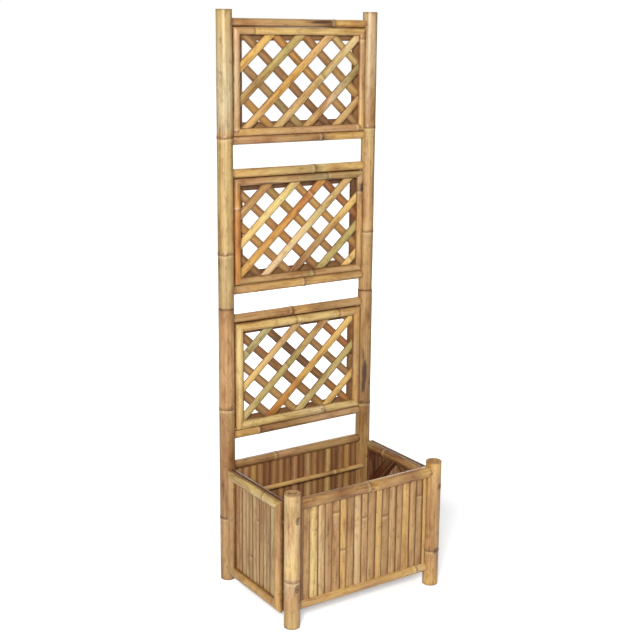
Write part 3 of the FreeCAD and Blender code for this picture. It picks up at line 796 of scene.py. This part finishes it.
post(
    "front_post_left",
    sawn(20.0, 4.0),
    SAWN_FOOT,
    [
        (0, "wheat"),
        (60, "tan"),
        (100, "almond"),
        (112, "sand"),
        (135, "straw"),
        (170, "sand"),
        (225, "sand"),
        (250, "wheat"),
        (296, "sand"),
    ],
    11,
    knots=((239.5, FRONT + 0.72, 6.0, 0.9), (90.0, FRONT + 0.68, 6.5, 1.0)),
    stains=((239.5, FRONT + 0.72, 8.0, 5.0, 0.5), (90.0, FRONT + 0.68, 9.0, 5.0, 0.5)),
)
post(
    "front_post_right",
    sawn(20.0, 42.0),
    SAWN_FOOT,
    [(0, "honey"), (60, "tan"), (80, "fawn"), (100, "tan"), (170, "fawn"), (240, "tan"), (291, "honey")],
    12,
    knots=((234.4, FRONT + 0.95, 6.5, 1.2), (84.0, FRONT + 0.55, 5.0, 1.2)),
    stains=((79.0, FRONT + 0.5, 5.0, 9.0, 0.55), (215.0, FRONT - 0.5, 30.0, 5.0, 0.3)),
)
post(
    "rear_post_left_lower",
    JOINT_LIP,
    SAWN_FOOT,
    [
        (0, "fawn"),
        (130, "tan"),
        (150, "brown"),
        (300, "brown"),
        (392, "fawn"),
        (410, "tan"),
        (500, "tan"),
        (626, "fawn"),
    ],
    13,
    knots=((405.0, FRONT + 0.75, 4.5, 1.1),),
    stains=((150.0, FRONT - 0.8, 5.0, 9.0, 0.4), (300.0, FRONT + 0.3, 60.0, 4.0, 0.3)),
)
post(
    "rear_post_left_upper",
    sawn(20.0, 0.0),
    JOINT_FOOT,
    [
        (626, "reed"),
        (738, "reed"),
        (752, "wheat"),
        (840, "wheat"),
        (980, "wheat"),
        (995, "tan"),
        (1010, "ivory"),
        (1120, "ivory"),
        (1250, "wheat"),
    ],
    14,
    knots=((752.0, FRONT - 0.85, 3.0, 0.9),),
)
post(
    "rear_post_right_lower",
    JOINT_LIP,
    SAWN_FOOT,
    [
        (0, "tan"),
        (104, "ochre"),
        (345, "ochre"),
        (380, "brown"),
        (470, "ochre"),
        (540, "ochre"),
        (626, "fawn"),
    ],
    15,
    knots=((358.0, FRONT - 0.25, 3.2, 0.9), (362.0, FRONT + 0.15, 2.4, 0.8)),
    stains=(
        (430.0, FRONT + 0.05, 36.0, 6.5, 1.0),
        (398.0, FRONT - 0.05, 20.0, 5.0, 0.9),
        (470.0, FRONT - 0.1, 22.0, 3.0, 0.6),
    ),
)
post(
    "rear_post_right_upper",
    sawn(20.0, 0.0),
    JOINT_FOOT,
    [
        (626, "ochre"),
        (755, "fawn"),
        (775, "tan"),
        (900, "tan"),
        (985, "wheat"),
        (1005, "fawn"),
        (1150, "almond"),
        (1250, "almond"),
    ],
    16,
    knots=((1001.0, FRONT + 0.95, 3.6, 1.0), (759.0, FRONT + 1.0, 3.0, 0.9)),
)

# ---------------------------------------------------------------- rails

RAIL_TONES = {
    "top_panel_upper_rail": [(-170, "tan"), (20, "fawn"), (60, "chestnut"), (84, "umber"), (86, "gold"), (170, "honey")],
    "top_panel_lower_rail": [(-170, "rose"), (20, "fawn"), (54, "brown"), (60, "fawn"), (90, "honey"), (170, "honey")],
    "middle_panel_upper_rail": [(-170, "honey"), (30, "khaki"), (40, "sage"), (60, "straw"), (170, "honey")],
    "middle_panel_lower_rail": [(-170, "tan"), (0, "honey"), (12, "fawn"), (40, "honey"), (170, "tan")],
    "lower_panel_upper_rail": [(-170, "fawn"), (-40, "tan"), (-21, "brown"), (-10, "honey"), (60, "fawn"), (170, "tan")],
    "lower_panel_lower_rail": [(-170, "honey"), (-107, "honey"), (-103, "brown"), (0, "fawn"), (60, "rose"), (170, "tan")],
    "box_rear_upper_rail": [(-170, "brown"), (-62, "fawn"), (-55, "rose"), (0, "fawn"), (170, "fawn")],
    "box_rear_lower_rail": [(-170, "tan"), (170, "brown")],
    "box_front_upper_rail": [
        (-170, "brown"),
        (-110, "fawn"),
        (-70, "chestnut"),
        (-30, "fawn"),
        (4, "brown"),
        (8, "honey"),
        (60, "tan"),
        (120, "brown"),
        (170, "honey"),
    ],
    "box_front_lower_rail": [(-170, "tan"), (-60, "honey"), (0, "tan"), (130, "honey"), (140, "sand"), (170, "honey")],
}
RAIL_KNOTS = {
    "lower_panel_upper_rail": ((-21.0, 3.75, 4.2, 1.0),),
    "top_panel_lower_rail": ((57.0, 3.6, 3.0, 0.8),),
    "box_front_upper_rail": ((12.0, 3.3, 3.4, 0.9),),
    "middle_panel_lower_rail": ((14.0, 4.1, 3.0, 0.9),),
}
RAIL_STAINS = {
    "top_panel_upper_rail": ((45.0, 2.9, 38.0, 4.5, 0.75),),
    "lower_panel_upper_rail": ((-140.0, 4.1, 26.0, 2.6, 0.8),),
    "lower_panel_lower_rail": ((-88.0, 4.0, 14.0, 3.0, 0.7),),
    "box_front_upper_rail": ((-60.0, 3.5, 18.0, 5.0, 0.35), (-120.0, 3.9, 12.0, 4.0, 0.3)),
    "middle_panel_lower_rail": ((12.0, 4.2, 8.0, 4.0, 0.5),),
}

for index, (node, tone) in enumerate(RAIL_TONES.items()):
    low, high = corners(node)
    middle_y = (low[1] + high[1]) / 2
    if node.startswith("box_"):
        middle_y = math.copysign(134.0, middle_y)
    rail_z = (low[2] + high[2]) / 2
    rings, radius = ring_places(node, 0, (middle_y, rail_z))
    pile = Pile()
    culm(
        pile,
        (Y, Z, X),
        (0.0, middle_y, rail_z),
        -166.9,
        166.9,
        radius,
        rings,
        tone,
        40 + index,
        cope=(184.0, 17.1 if node.startswith(("lower", "box")) else 16.1),
        around=56,
        scale=0.72,
        spacing=5.0,
        knots=RAIL_KNOTS.get(node, ()),
        stains=RAIL_STAINS.get(node, ()),
        bend=0.15,
    )
    pile.build(node + "_culm", node)

# ---------------------------------------------------------------- frames of half culms

SIDE_NAMES = {"upper": -Z, "lower": Z, "low": X, "high": -X}


def batten_places(low, high, level, normal, flat):
    """The four half culms round a frame: corner, run, inward and length of each."""
    inward = {"upper": -Z, "lower": Z, "low": level, "high": -level}
    axis = int(np.argmax(np.abs(level)))
    places = {}
    for name, inner in inward.items():
        along = np.cross(inner, normal)
        corner = np.zeros(3)
        corner[1 - axis] = flat
        corner[axis] = low[axis] if (along + inner)[axis] > 0 else high[axis]
        corner[2] = low[2] if (along + inner)[2] > 0 else high[2]
        reach = 2 if name in ("low", "high") else axis
        places[name] = (corner, along, inner, high[reach] - low[reach])
    return places


def along_frame(place, run, corner):
    """A place on a frame, as millimetres from the half culm's corner."""
    axis = int(np.argmax(np.abs(run)))
    return (place - corner[axis]) * run[axis]


def framed(low, high, level, normal, flat, shape, looks, seed, pieces):
    """Builds the half culms of one frame. pieces maps a side to the pile it goes in."""
    for number, (name, (corner, run, inner, length)) in enumerate(
        batten_places(low, high, level, normal, flat).items()
    ):
        if name not in pieces:
            continue
        look = looks.get(name, looks.get("all"))
        tone = look["tone"]
        stains = [
            (along_frame(place, run, corner), across, long, wide, strength)
            for place, across, long, wide, strength in look.get("stains", ())
        ]
        if not isinstance(tone, str):
            tone = sorted((along_frame(place, run, corner), colour) for place, colour in tone)
        nodes = [along_frame(place, run, corner) for place in look.get("nodes", ())]
        knots = [
            (along_frame(place, run, corner), across, size, rise)
            for place, across, size, rise in look.get("knots", ())
        ]
        half_culm(
            pieces[name],
            corner,
            run,
            inner,
            normal,
            length,
            shape,
            tone,
            seed + number,
            nodes,
            knots=knots,
            stains=stains,
            scale=0.7,
        )


TRELLIS_LOOKS = {
    "top": {
        "low": {"tone": [(990, "tan"), (1100, "almond"), (1215, "rose")], "nodes": (1004,)},
        "upper": {
            "tone": [(-168, "fawn"), (-119, "tan"), (-115, "honey"), (0, "straw"), (168, "honey")],
            "nodes": (-116.6,),
        },
        "high": {"tone": [(990, "honey"), (1100, "tan"), (1215, "fawn")], "nodes": (1192,)},
        "lower": {
            "tone": [(-168, "honey"), (-40, "tan"), (60, "rose"), (168, "tan")],
            "nodes": (150,),
        },
    },
    "middle": {
        "low": {
            "tone": [(674, "amber"), (832, "amber"), (838, "rose"), (846, "amber"), (904, "fawn")],
            "nodes": (839,),
        },
        "upper": {
            "tone": [(-168, "rose"), (-20, "fawn"), (66, "sage"), (72, "fawn"), (168, "olive")],
            "nodes": (69.5,),
            "stains": ((-90, 13, 40, 2.5, 0.6), (80, 14, 20, 2.0, 0.7)),
        },
        "high": {
            "tone": [(674, "tan"), (800, "honey"), (850, "tan"), (868, "fawn"), (904, "blush")],
            "nodes": (858,),
            "knots": ((864, 6, 6.0, 1.2),),
            "stains": ((866, 5, 14, 7.5, 0.9),),
        },
        "lower": {
            "tone": [(-168, "fawn"), (0, "tan"), (28, "olive"), (36, "tan"), (168, "tan")],
            "nodes": (32,),
            "knots": ((32, 12, 3.0, 0.8),),
        },
    },
    "lower": {
        "low": {
            "tone": [(347, "honey"), (420, "straw"), (470, "straw"), (590, "straw")],
            "nodes": (),
        },
        "upper": {
            "tone": [(-168, "honey"), (-10, "straw"), (90, "straw"), (104, "honey"), (168, "tan")],
            "nodes": (-10.8, 106),
        },
        "high": {"tone": [(347, "gold"), (480, "fawn"), (590, "gold")], "nodes": ()},
        "lower": {
            "tone": [(-168, "straw"), (-30, "straw"), (58, "cream"), (66, "straw"), (168, "straw")],
            "nodes": (62.7,),
            "knots": ((60, 12, 3.2, 0.9), (67, 8, 2.6, 0.8)),
        },
    },
}
REAR_LOOKS = {
    "top": {
        "all": {"tone": "fawn", "nodes": ()},
        "high": {"tone": "brown", "nodes": ()},
    },
    "middle": {
        "all": {"tone": "tan", "nodes": ()},
        "upper": {"tone": "umber", "nodes": ()},
        "high": {"tone": [(674, "brown"), (800, "chestnut"), (904, "walnut")], "nodes": ()},
        "lower": {"tone": "brown", "nodes": ()},
    },
    "lower": {
        "all": {"tone": "brown", "nodes": ()},
        "high": {"tone": [(347, "brown"), (450, "fawn"), (590, "rust")], "nodes": ()},
    },
}
PLACE_NAMES = {"left": "low", "right": "high", "upper": "upper", "lower": "lower"}

REAR_WIDTH = 28.0
for number, panel in enumerate(("top", "middle", "lower")):
    rear = f"{panel}_panel_rear_frame"
    low, high = corners(rear)
    shape = (REAR_WIDTH, high[1] - low[1])
    pile = Pile()
    sides = {name: pile for name in PLACE_NAMES.values()}
    framed(low, high, X, Y, low[1], shape, REAR_LOOKS[panel], 120 + 10 * number, sides)
    pile.build(rear + "_half_culms", rear)
    for label, name in PLACE_NAMES.items():
        node = f"{panel}_panel_front_frame_{label}"
        near, flat = corners(node)[0][1], corners(node)[1][1]
        shape = (2 * (flat - near), flat - near)
        pile = Pile()
        framed(low, high, X, -Y, flat, shape, TRELLIS_LOOKS[panel], 160 + 10 * number, {name: pile})
        pile.build(node + "_half_culm", node)

SIDE_LOOKS = {
    "left": {
        "upper": {
            "tone": [(-103, "straw"), (-38, "khaki"), (0, "straw"), (117, "khaki")],
            "nodes": (-38.5,),
        },
        "lower": {"tone": [(-103, "tan"), (20, "honey"), (117, "fawn")], "nodes": ()},
        "low": {"tone": [(18, "honey"), (150, "tan"), (266, "fawn")], "nodes": ()},
        "high": {"tone": [(18, "brown"), (150, "fawn"), (266, "tan")], "nodes": ()},
    },
    "right": {
        "upper": {"tone": [(-103, "fawn"), (117, "tan")], "nodes": (30,)},
        "lower": {"tone": "tan", "nodes": (-20,)},
        "low": {"tone": "honey", "nodes": (150,)},
        "high": {"tone": "khaki", "nodes": (90,)},
    },
}
INNER_LOOKS = {
    "left": {"all": {"tone": "brown", "nodes": ()}},
    # the right inner frame's chestnut and mahogany are partly painted shade, where the box's right side lies in shade
    "right": {
        "upper": {"tone": [(-116, "fawn"), (60, "brown"), (103, "olive")], "nodes": (40,)},
        "lower": {"tone": "mahogany", "nodes": ()},
        "low": {"tone": "chestnut", "nodes": (150,)},
        "high": {"tone": "mahogany", "nodes": ()},
    },
}

for number, (side, sign) in enumerate((("left", -1), ("right", 1))):
    inner = f"box_{side}_inner_frame"
    low, high = corners(inner)
    radius = high[0] - low[0]
    shape = (2 * radius, radius)
    flat_inside = high[0] - radius if sign < 0 else low[0] + radius
    pile = Pile()
    sides = {name: pile for name in PLACE_NAMES.values()}
    framed(low, high, Y, -sign * X, flat_inside, shape, INNER_LOOKS[side], 220 + 10 * number, sides)
    pile.build(inner + "_half_culms", inner)
    for label, name in (("front", "low"), ("rear", "high"), ("upper", "upper"), ("lower", "lower")):
        node = f"box_{side}_outer_frame_{label}"
        box_low, box_high = corners(node)
        flat = box_high[0] if sign < 0 else box_low[0]
        pile = Pile()
        framed(low, high, Y, sign * X, flat, shape, SIDE_LOOKS[side], 250 + 10 * number, {name: pile})
        pile.build(node + "_half_culm", node)

# ---------------------------------------------------------------- lattices

LATTICE_ANGLE = math.radians(42.3)
LATTICE_TONES = {
    ("top", 1): (
        [(-200, "honey"), (0, "gold")],
        [(-150, "brown"), (0, "olive"), (150, "fawn")],
        [(-200, "tan"), (0, "gold"), (150, "rose")],
        [(-200, "khaki"), (0, "tan"), (60, "khaki"), (150, "sand")],
        [(-100, "honey"), (0, "fawn"), (30, "blush"), (100, "sage")],
        "tan",
    ),
    ("top", -1): (
        "gold",
        [(-150, "khaki"), (0, "sage"), (100, "fawn")],
        [(-150, "umber"), (0, "brown"), (150, "fawn")],
        [(-150, "tan"), (0, "gold"), (150, "amber")],
        [(-100, "honey"), (0, "fawn"), (100, "amber")],
        "straw",
    ),
    ("middle", 1): (
        [(-80, "fawn"), (80, "rust")],
        [(-150, "honey"), (0, "straw"), (150, "khaki")],
        [(-180, "gold"), (0, "amber"), (60, "rust"), (150, "amber")],
        [(-180, "blush"), (0, "sand"), (60, "khaki"), (150, "tan")],
        [(-180, "umber"), (-60, "chestnut"), (20, "fawn"), (120, "honey")],
        "olive",
        "honey",
    ),
    ("middle", -1): (
        [(-60, "umber"), (60, "brown")],
        [(-100, "tan"), (100, "gold")],
        [(-150, "brown"), (0, "amber"), (150, "tan")],
        [(-150, "fawn"), (0, "gold"), (150, "olive")],
        [(-150, "gold"), (150, "honey")],
        "rust",
    ),
    ("lower", 1): (
        "sage",
        [(-100, "honey"), (0, "tan"), (100, "fawn")],
        [(-180, "khaki"), (0, "olive"), (100, "fawn")],
        [(-180, "rust"), (-90, "amber"), (0, "gold"), (150, "honey")],
        [(-150, "fawn"), (-60, "khaki"), (100, "olive")],
        "honey",
    ),
    ("lower", -1): (
        "fawn",
        [(-100, "honey"), (100, "tan")],
        [(-150, "gold"), (0, "brown"), (150, "brown")],
        [(-150, "amber"), (-20, "umber"), (60, "walnut"), (150, "brown")],
        [(-150, "tan"), (0, "fawn"), (150, "gold")],
        "rust",
    ),
}


def lattice(node, panel, slope, normal, seed):
    low, high = corners(node)
    flat = high[1] if normal[1] < 0 else low[1]
    run = np.array((slope * math.cos(LATTICE_ANGLE), 0.0, math.sin(LATTICE_ANGLE)))
    across = np.cross(normal, run)
    middle = (low + high) / 2
    middle[1] = flat
    half = (high - low) / 2
    strips = solids(node)
    offsets = sorted(
        ((points @ across).min() + (points @ across).max()) / 2 - middle @ across
        for points in strips
    )
    if across[0] < 0:
        offsets = offsets[::-1]
    width = 20.0
    palette = LATTICE_TONES[(panel, slope)]
    rng = np.random.default_rng(seed)
    pile = Pile()
    for number, offset in enumerate(offsets):

        def limit(b, sign):
            """How far a line of the strip runs before it leaves the window."""
            base = (b + offset)[..., None] * across
            reach = np.full(np.shape(b), 1e9)
            for axis in (0, 2):
                wall = np.sign(sign * run[axis]) * half[axis]
                reach = np.minimum(reach, (wall - base[..., axis]) / (sign * run[axis]))
            return sign * reach

        ends = [float(limit(np.array(0.0), s)) for s in (-1, 1)]
        place = rng.uniform(ends[0] + 15, ends[1] - 15)
        nodes = [place] if rng.random() < 0.4 else []
        u = steps(ends[0], ends[1], 6.0, nodes)
        tone = palette[number % len(palette)]
        prism(
            pile,
            middle + offset * across,
            (across, normal, run),
            split(width + rng.uniform(-2.6, -0.6), 4.4, 20.0),
            u,
            lambda b: limit(b, -1),
            lambda b: limit(b, 1),
            tone,
            seed + 1 + number,
            nodes,
            scale=0.4,
            side=0.3,
            gain=(1.2, 1.3, 1.3),
        )
    pile.build(node + "_slats", node)


for number, panel in enumerate(("top", "middle", "lower")):
    lattice(f"{panel}_panel_front_lattice", panel, 1, -Y, 300 + 40 * number)
    lattice(f"{panel}_panel_rear_lattice", panel, -1, Y, 320 + 40 * number)

# ---------------------------------------------------------------- slatted walls

WALL_TONES = {
    "box_front_slats": (
        "brown", "fawn", "straw", "sand", "fawn", "tan", "honey", "fawn", "sand", "tan",
        "fawn", "honey", "fawn", "tan", "fawn", "honey", "tan", "fawn", "honey",
    ),
    "box_rear_slats": (
        "fawn", "rose", "honey", "tan", "chestnut", "fawn", "tan", "brown", "rose", "chestnut",
        "sand", "tan", "brown", "straw", "chestnut", "fawn", "honey", "brown",
    ),
    "box_left_slats": (
        "khaki", "tan", "khaki", "fawn", "khaki", "fawn", "tan", "khaki", "fawn", "khaki",
        "tan", "fawn", "tan", "brown",
    ),
    # partly painted light and shade: on the right wall's inside the blush slats stand for a lit patch and the chestnut
    # to mahogany ones for the wall's shade
    "box_right_slats": (
        "tan", "fawn", "rose", "tan", "fawn", "rose", "blush",
        "rose", "blush", "rose", "chestnut", "umber", "mahogany", "mahogany",
    ),
}


# painted light: the rear wall's inside, which lies in the box's shade, is lightened
WALL_PAINTED_LIGHT_GAINS = {"box_rear_slats": (1.38, 1.38, 1.32)}


def wall(node, level, normal, slot, seed):
    axis = int(np.argmax(np.abs(level)))
    rng = np.random.default_rng(seed)
    pile = Pile()
    strips = solids(node)
    strips.sort(key=lambda group: group[:, axis].min())
    across = np.cross(normal, Z)
    palette = WALL_TONES[node]
    lean = rng.uniform(-1.1, 1.1, len(strips) + 1)
    lean[0] = lean[-1] = 0.0
    facing = int(np.argmax(np.abs(normal)))
    for number, points in enumerate(strips):
        low, high = points.min(0), points.max(0)
        width = high[axis] - low[axis]
        thickness = high[facing] - low[facing]
        origin = (low + high) / 2
        origin[facing] = low[facing] if normal[facing] > 0 else high[facing]
        origin[2] = 0.0
        place = rng.uniform(low[2] + 10, high[2] - 10)
        nodes = [place] if rng.random() < 0.3 else []
        u = steps(low[2], high[2], 9.0, nodes)
        seams = (lean[number], lean[number + 1])
        sign = float(across[axis])
        if sign < 0:
            seams = (-seams[1], -seams[0])
        prism(
            pile,
            origin,
            (across, normal, Z),
            split(width, thickness - 0.1 + rng.uniform(-0.35, 0.0), 22.0),
            u,
            lambda b: low[2] + 0 * b,
            lambda b: high[2] + 0 * b,
            palette[number % len(palette)],
            seed + 1 + number,
            nodes,
            scale=0.5,
            side=0.1,
            skew=((-seams[0], seams[0]), (-seams[1], seams[1])),
            gain=WALL_PAINTED_LIGHT_GAINS.get(node, (1.0, 1.0, 1.0)),
            stains=[
                (
                    rng.uniform(low[2], high[2]),
                    rng.uniform(-width, width) / 2,
                    rng.uniform(15, 70),
                    rng.uniform(1.0, 2.6),
                    rng.uniform(0.2, 0.55),
                )
                for _ in range(2)
            ],
        )
    pile.build(node + "_split", node)


wall("box_front_slats", X, -Y, "bamboo_front_slat", 500)
wall("box_rear_slats", X, Y, "bamboo_side_slat", 530)
wall("box_left_slats", Y, -X, "bamboo_side_slat", 560)
wall("box_right_slats", Y, X, "bamboo_side_slat", 590)

# ---------------------------------------------------------------- braces, bar and floor

for number, (side, sign) in enumerate((("left", -1), ("right", 1))):
    node = f"box_{side}_braces"
    pile = Pile()
    for count, points in enumerate(solids(node)):
        low, high = points.min(0), points.max(0)
        flat = low[0] if sign < 0 else high[0]
        thickness = high[0] - low[0]
        lean = 1 if (low[1] + high[1]) / 2 < sum(corners(node)[k][1] for k in (0, 1)) / 2 else -1
        angle = math.radians(48)
        run = np.array((0.0, lean * math.cos(angle), math.sin(angle)))
        normal = -sign * X
        across = np.cross(normal, run)
        spread = points @ across
        middle = (low + high) / 2
        offset = (spread.min() + spread.max()) / 2 - middle @ across
        origin = middle + offset * across
        origin[0] = flat
        width = spread.max() - spread.min()
        half = (high - low) / 2

        def reach(b, way):
            base = (b + offset)[..., None] * across
            far = np.full(np.shape(b), 1e9)
            for axis in (1, 2):
                edge = np.sign(way * run[axis]) * half[axis]
                far = np.minimum(far, (edge - base[..., axis]) / (way * run[axis]))
            return way * far

        ends = [float(reach(np.array(0.0), way)) for way in (-1, 1)]
        prism(
            pile,
            origin,
            (across, normal, run),
            split(width, thickness - 0.1, 30.0),
            steps(ends[0], ends[1], 5.0),
            lambda b: reach(b, -1),
            lambda b: reach(b, 1),
            # the right braces' umber and mahogany are partly painted shade of the box's right side
            ("umber", "mahogany")[count] if sign > 0 else ("fawn", "brown")[count],
            620 + 10 * number + count,
            (),
            slanted=True,
            side=0.2,
        )
    pile.build(node + "_split", node)

low, high = corners("rear_cross_bar")
pile = Pile()
culm(
    pile,
    (Y, Z, X),
    (0.0, (low[1] + high[1]) / 2, (low[2] + high[2]) / 2),
    low[0],
    high[0],
    (high[2] - low[2]) / 2,
    [98.0],
    [(-171, "tan"), (-50, "honey"), (86, "tan"), (94, "cream"), (104, "honey"), (179, "tan")],
    70,
    around=40,
    scale=0.35,
    bend=0.0,
    spacing=6.0,
)
pile.build("rear_cross_bar_culm", "rear_cross_bar")

pile = Pile()
for count, points in enumerate(solids("floor_bearers")):
    low, high = points.min(0), points.max(0)
    culm(
        pile,
        (Z, X, Y),
        ((low[0] + high[0]) / 2, 0.0, (low[2] + high[2]) / 2),
        low[1],
        high[1],
        (high[2] - low[2]) / 2,
        [-30.0 + 40 * count],
        [(-128, "tan"), (128, "honey")],
        74 + count,
        around=40,
        scale=0.5,
        bend=0.0,
        cope=(134.0, 9.7),
        spacing=6.0,
    )
pile.build("floor_bearers_culms", "floor_bearers")

pile = Pile()
FLOOR_TONES = ("tan", "brown", "sand", "tan", "rose", "tan", "brown", "sand", "tan", "brown")
for count, points in enumerate(solids("floor_slats")):
    low, high = points.min(0), points.max(0)
    place = -90.0 + 37 * (count % 6)
    prism(
        pile,
        ((low[0] + high[0]) / 2, (low[1] + high[1]) / 2, low[2]),
        (Y, Z, X),
        split(high[1] - low[1], high[2] - low[2] - 0.1, 24.0),
        steps(low[0], high[0], 8.0, [place]),
        lambda b: low[0] + 0 * b,
        lambda b: high[0] + 0 * b,
        FLOOR_TONES[count % len(FLOOR_TONES)],
        650 + count,
        [place],
        scale=0.5,
        side=0.3,
    )
pile.build("floor_slats_split", "floor_slats")

# ---------------------------------------------------------------- pieces kept from the frame

pegs, steel = peg_painted_shade_material(), steel_material()
for node, material in (
    ("post_joint_pegs", pegs),
    ("rail_pegs", pegs),
    ("side_panel_pins", pegs),
    ("frame_brads", steel),
):
    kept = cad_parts[node].data.materials
    for place in range(len(kept)):
        kept[place] = material

# ---------------------------------------------------------------- stage, light and camera


def plane(name, size, z):
    mesh = bpy.data.meshes.new(name)
    half = size / 2
    mesh.from_pydata(
        [(-half, -half, z), (half, -half, z), (half, half, z), (-half, half, z)], [], [(0, 1, 2, 3)]
    )
    ground = bpy.data.objects.new(name, mesh)
    bpy.context.scene.collection.objects.link(ground)
    return ground


floor_look = Nodes("pale_floor")
floor_place = floor_look.add("ShaderNodeTexCoord").outputs["Object"]
floor_noise = floor_look.noise(floor_place, (3.0, 3.0, 3.0), 2.0)
floor_look.put(
    floor_look.shader.inputs["Base Color"],
    floor_look.mix(floor_noise, (0.9, 0.9, 0.9, 1.0), (0.93, 0.93, 0.93, 1.0)),
)
floor_look.put(floor_look.shader.inputs["Roughness"], floor_look.span(floor_noise, 0.3, 0.7, 0.85, 0.95))
# the studio's white surround: the floor glows a little to the camera, and fades into it
seen = floor_look.add("ShaderNodeLightPath").outputs["Is Camera Ray"]
away = floor_look.add("ShaderNodeVectorMath", operation="LENGTH")
floor_look.put(away.inputs[0], floor_place)
edge = floor_look.span(away.outputs["Value"], 0.5, 1.5)
glow = floor_look.math("MULTIPLY", seen, floor_look.math("ADD", floor_look.math("MULTIPLY", edge, 0.6), 0.42))
floor_look.shader.inputs["Emission Color"].default_value = (1.0, 1.0, 1.0, 1.0)
floor_look.put(floor_look.shader.inputs["Emission Strength"], glow)
plane("floor", 40.0, -0.0002).data.materials.append(floor_look.material)


def area_light(name, place, target, size, power):
    light = bpy.data.lights.new(name, "AREA")
    light.shape = "DISK"
    light.size = size
    light.energy = power
    lamp = bpy.data.objects.new(name, light)
    lamp.location = place
    direction = Vector(target) - Vector(place)
    lamp.rotation_euler = direction.to_track_quat("-Z", "Y").to_euler()
    bpy.context.scene.collection.objects.link(lamp)
    return lamp


area_light("key", (-2.1, -2.35, 1.95), (0.0, 0.0, 0.6), 0.9, 138.0)
area_light("fill", (2.4, -2.2, 1.8), (0.0, 0.0, 0.5), 2.2, 6.0)
area_light("top", (0.1, 0.3, 3.4), (0.0, 0.0, 0.5), 2.4, 14.0)
area_light("rear", (2.0, 2.7, 1.7), (0.0, 0.0, 0.6), 2.0, 34.0)

world = bpy.data.worlds.new("studio")
bpy.context.scene.world = world
world.use_nodes = True
tree = world.node_tree
background = tree.nodes["Background"]
background.inputs["Color"].default_value = (1.0, 1.0, 1.0, 1.0)
background.inputs["Strength"].default_value = 0.13
bright = tree.nodes.new("ShaderNodeBackground")
bright.inputs["Color"].default_value = (1.0, 1.0, 1.0, 1.0)
bright.inputs["Strength"].default_value = 1.0
path = tree.nodes.new("ShaderNodeLightPath")
blend = tree.nodes.new("ShaderNodeMixShader")
tree.links.new(path.outputs["Is Camera Ray"], blend.inputs[0])
tree.links.new(background.outputs[0], blend.inputs[1])
tree.links.new(bright.outputs[0], blend.inputs[2])
tree.links.new(blend.outputs[0], tree.nodes["World Output"].inputs["Surface"])

yaw, pitch, roll = (math.radians(v) for v in (33.94, 12.94, 0.59))
ahead = Vector((math.sin(yaw) * math.cos(pitch), math.cos(yaw) * math.cos(pitch), -math.sin(pitch)))
right = Vector((math.cos(yaw), -math.sin(yaw), 0.0))
above = right.cross(ahead)
level_right = math.cos(roll) * right + math.sin(roll) * above
level_up = -math.sin(roll) * right + math.cos(roll) * above
camera_data = bpy.data.cameras.new("camera")
camera_data.sensor_width = 36.0
camera_data.sensor_fit = "HORIZONTAL"
camera_data.lens = 1167.63 / 640 * 36
camera_data.shift_y = -20 / 640
camera_data.clip_end = 100.0
camera = bpy.data.objects.new("camera", camera_data)
turned = Matrix((level_right, level_up, -ahead)).transposed().to_4x4()
camera.matrix_world = Matrix.Translation((-1.3792, -2.0024, 1.2069)) @ turned
bpy.context.scene.collection.objects.link(camera)
bpy.context.scene.camera = camera
bpy.context.scene.view_settings.view_transform = "Standard"
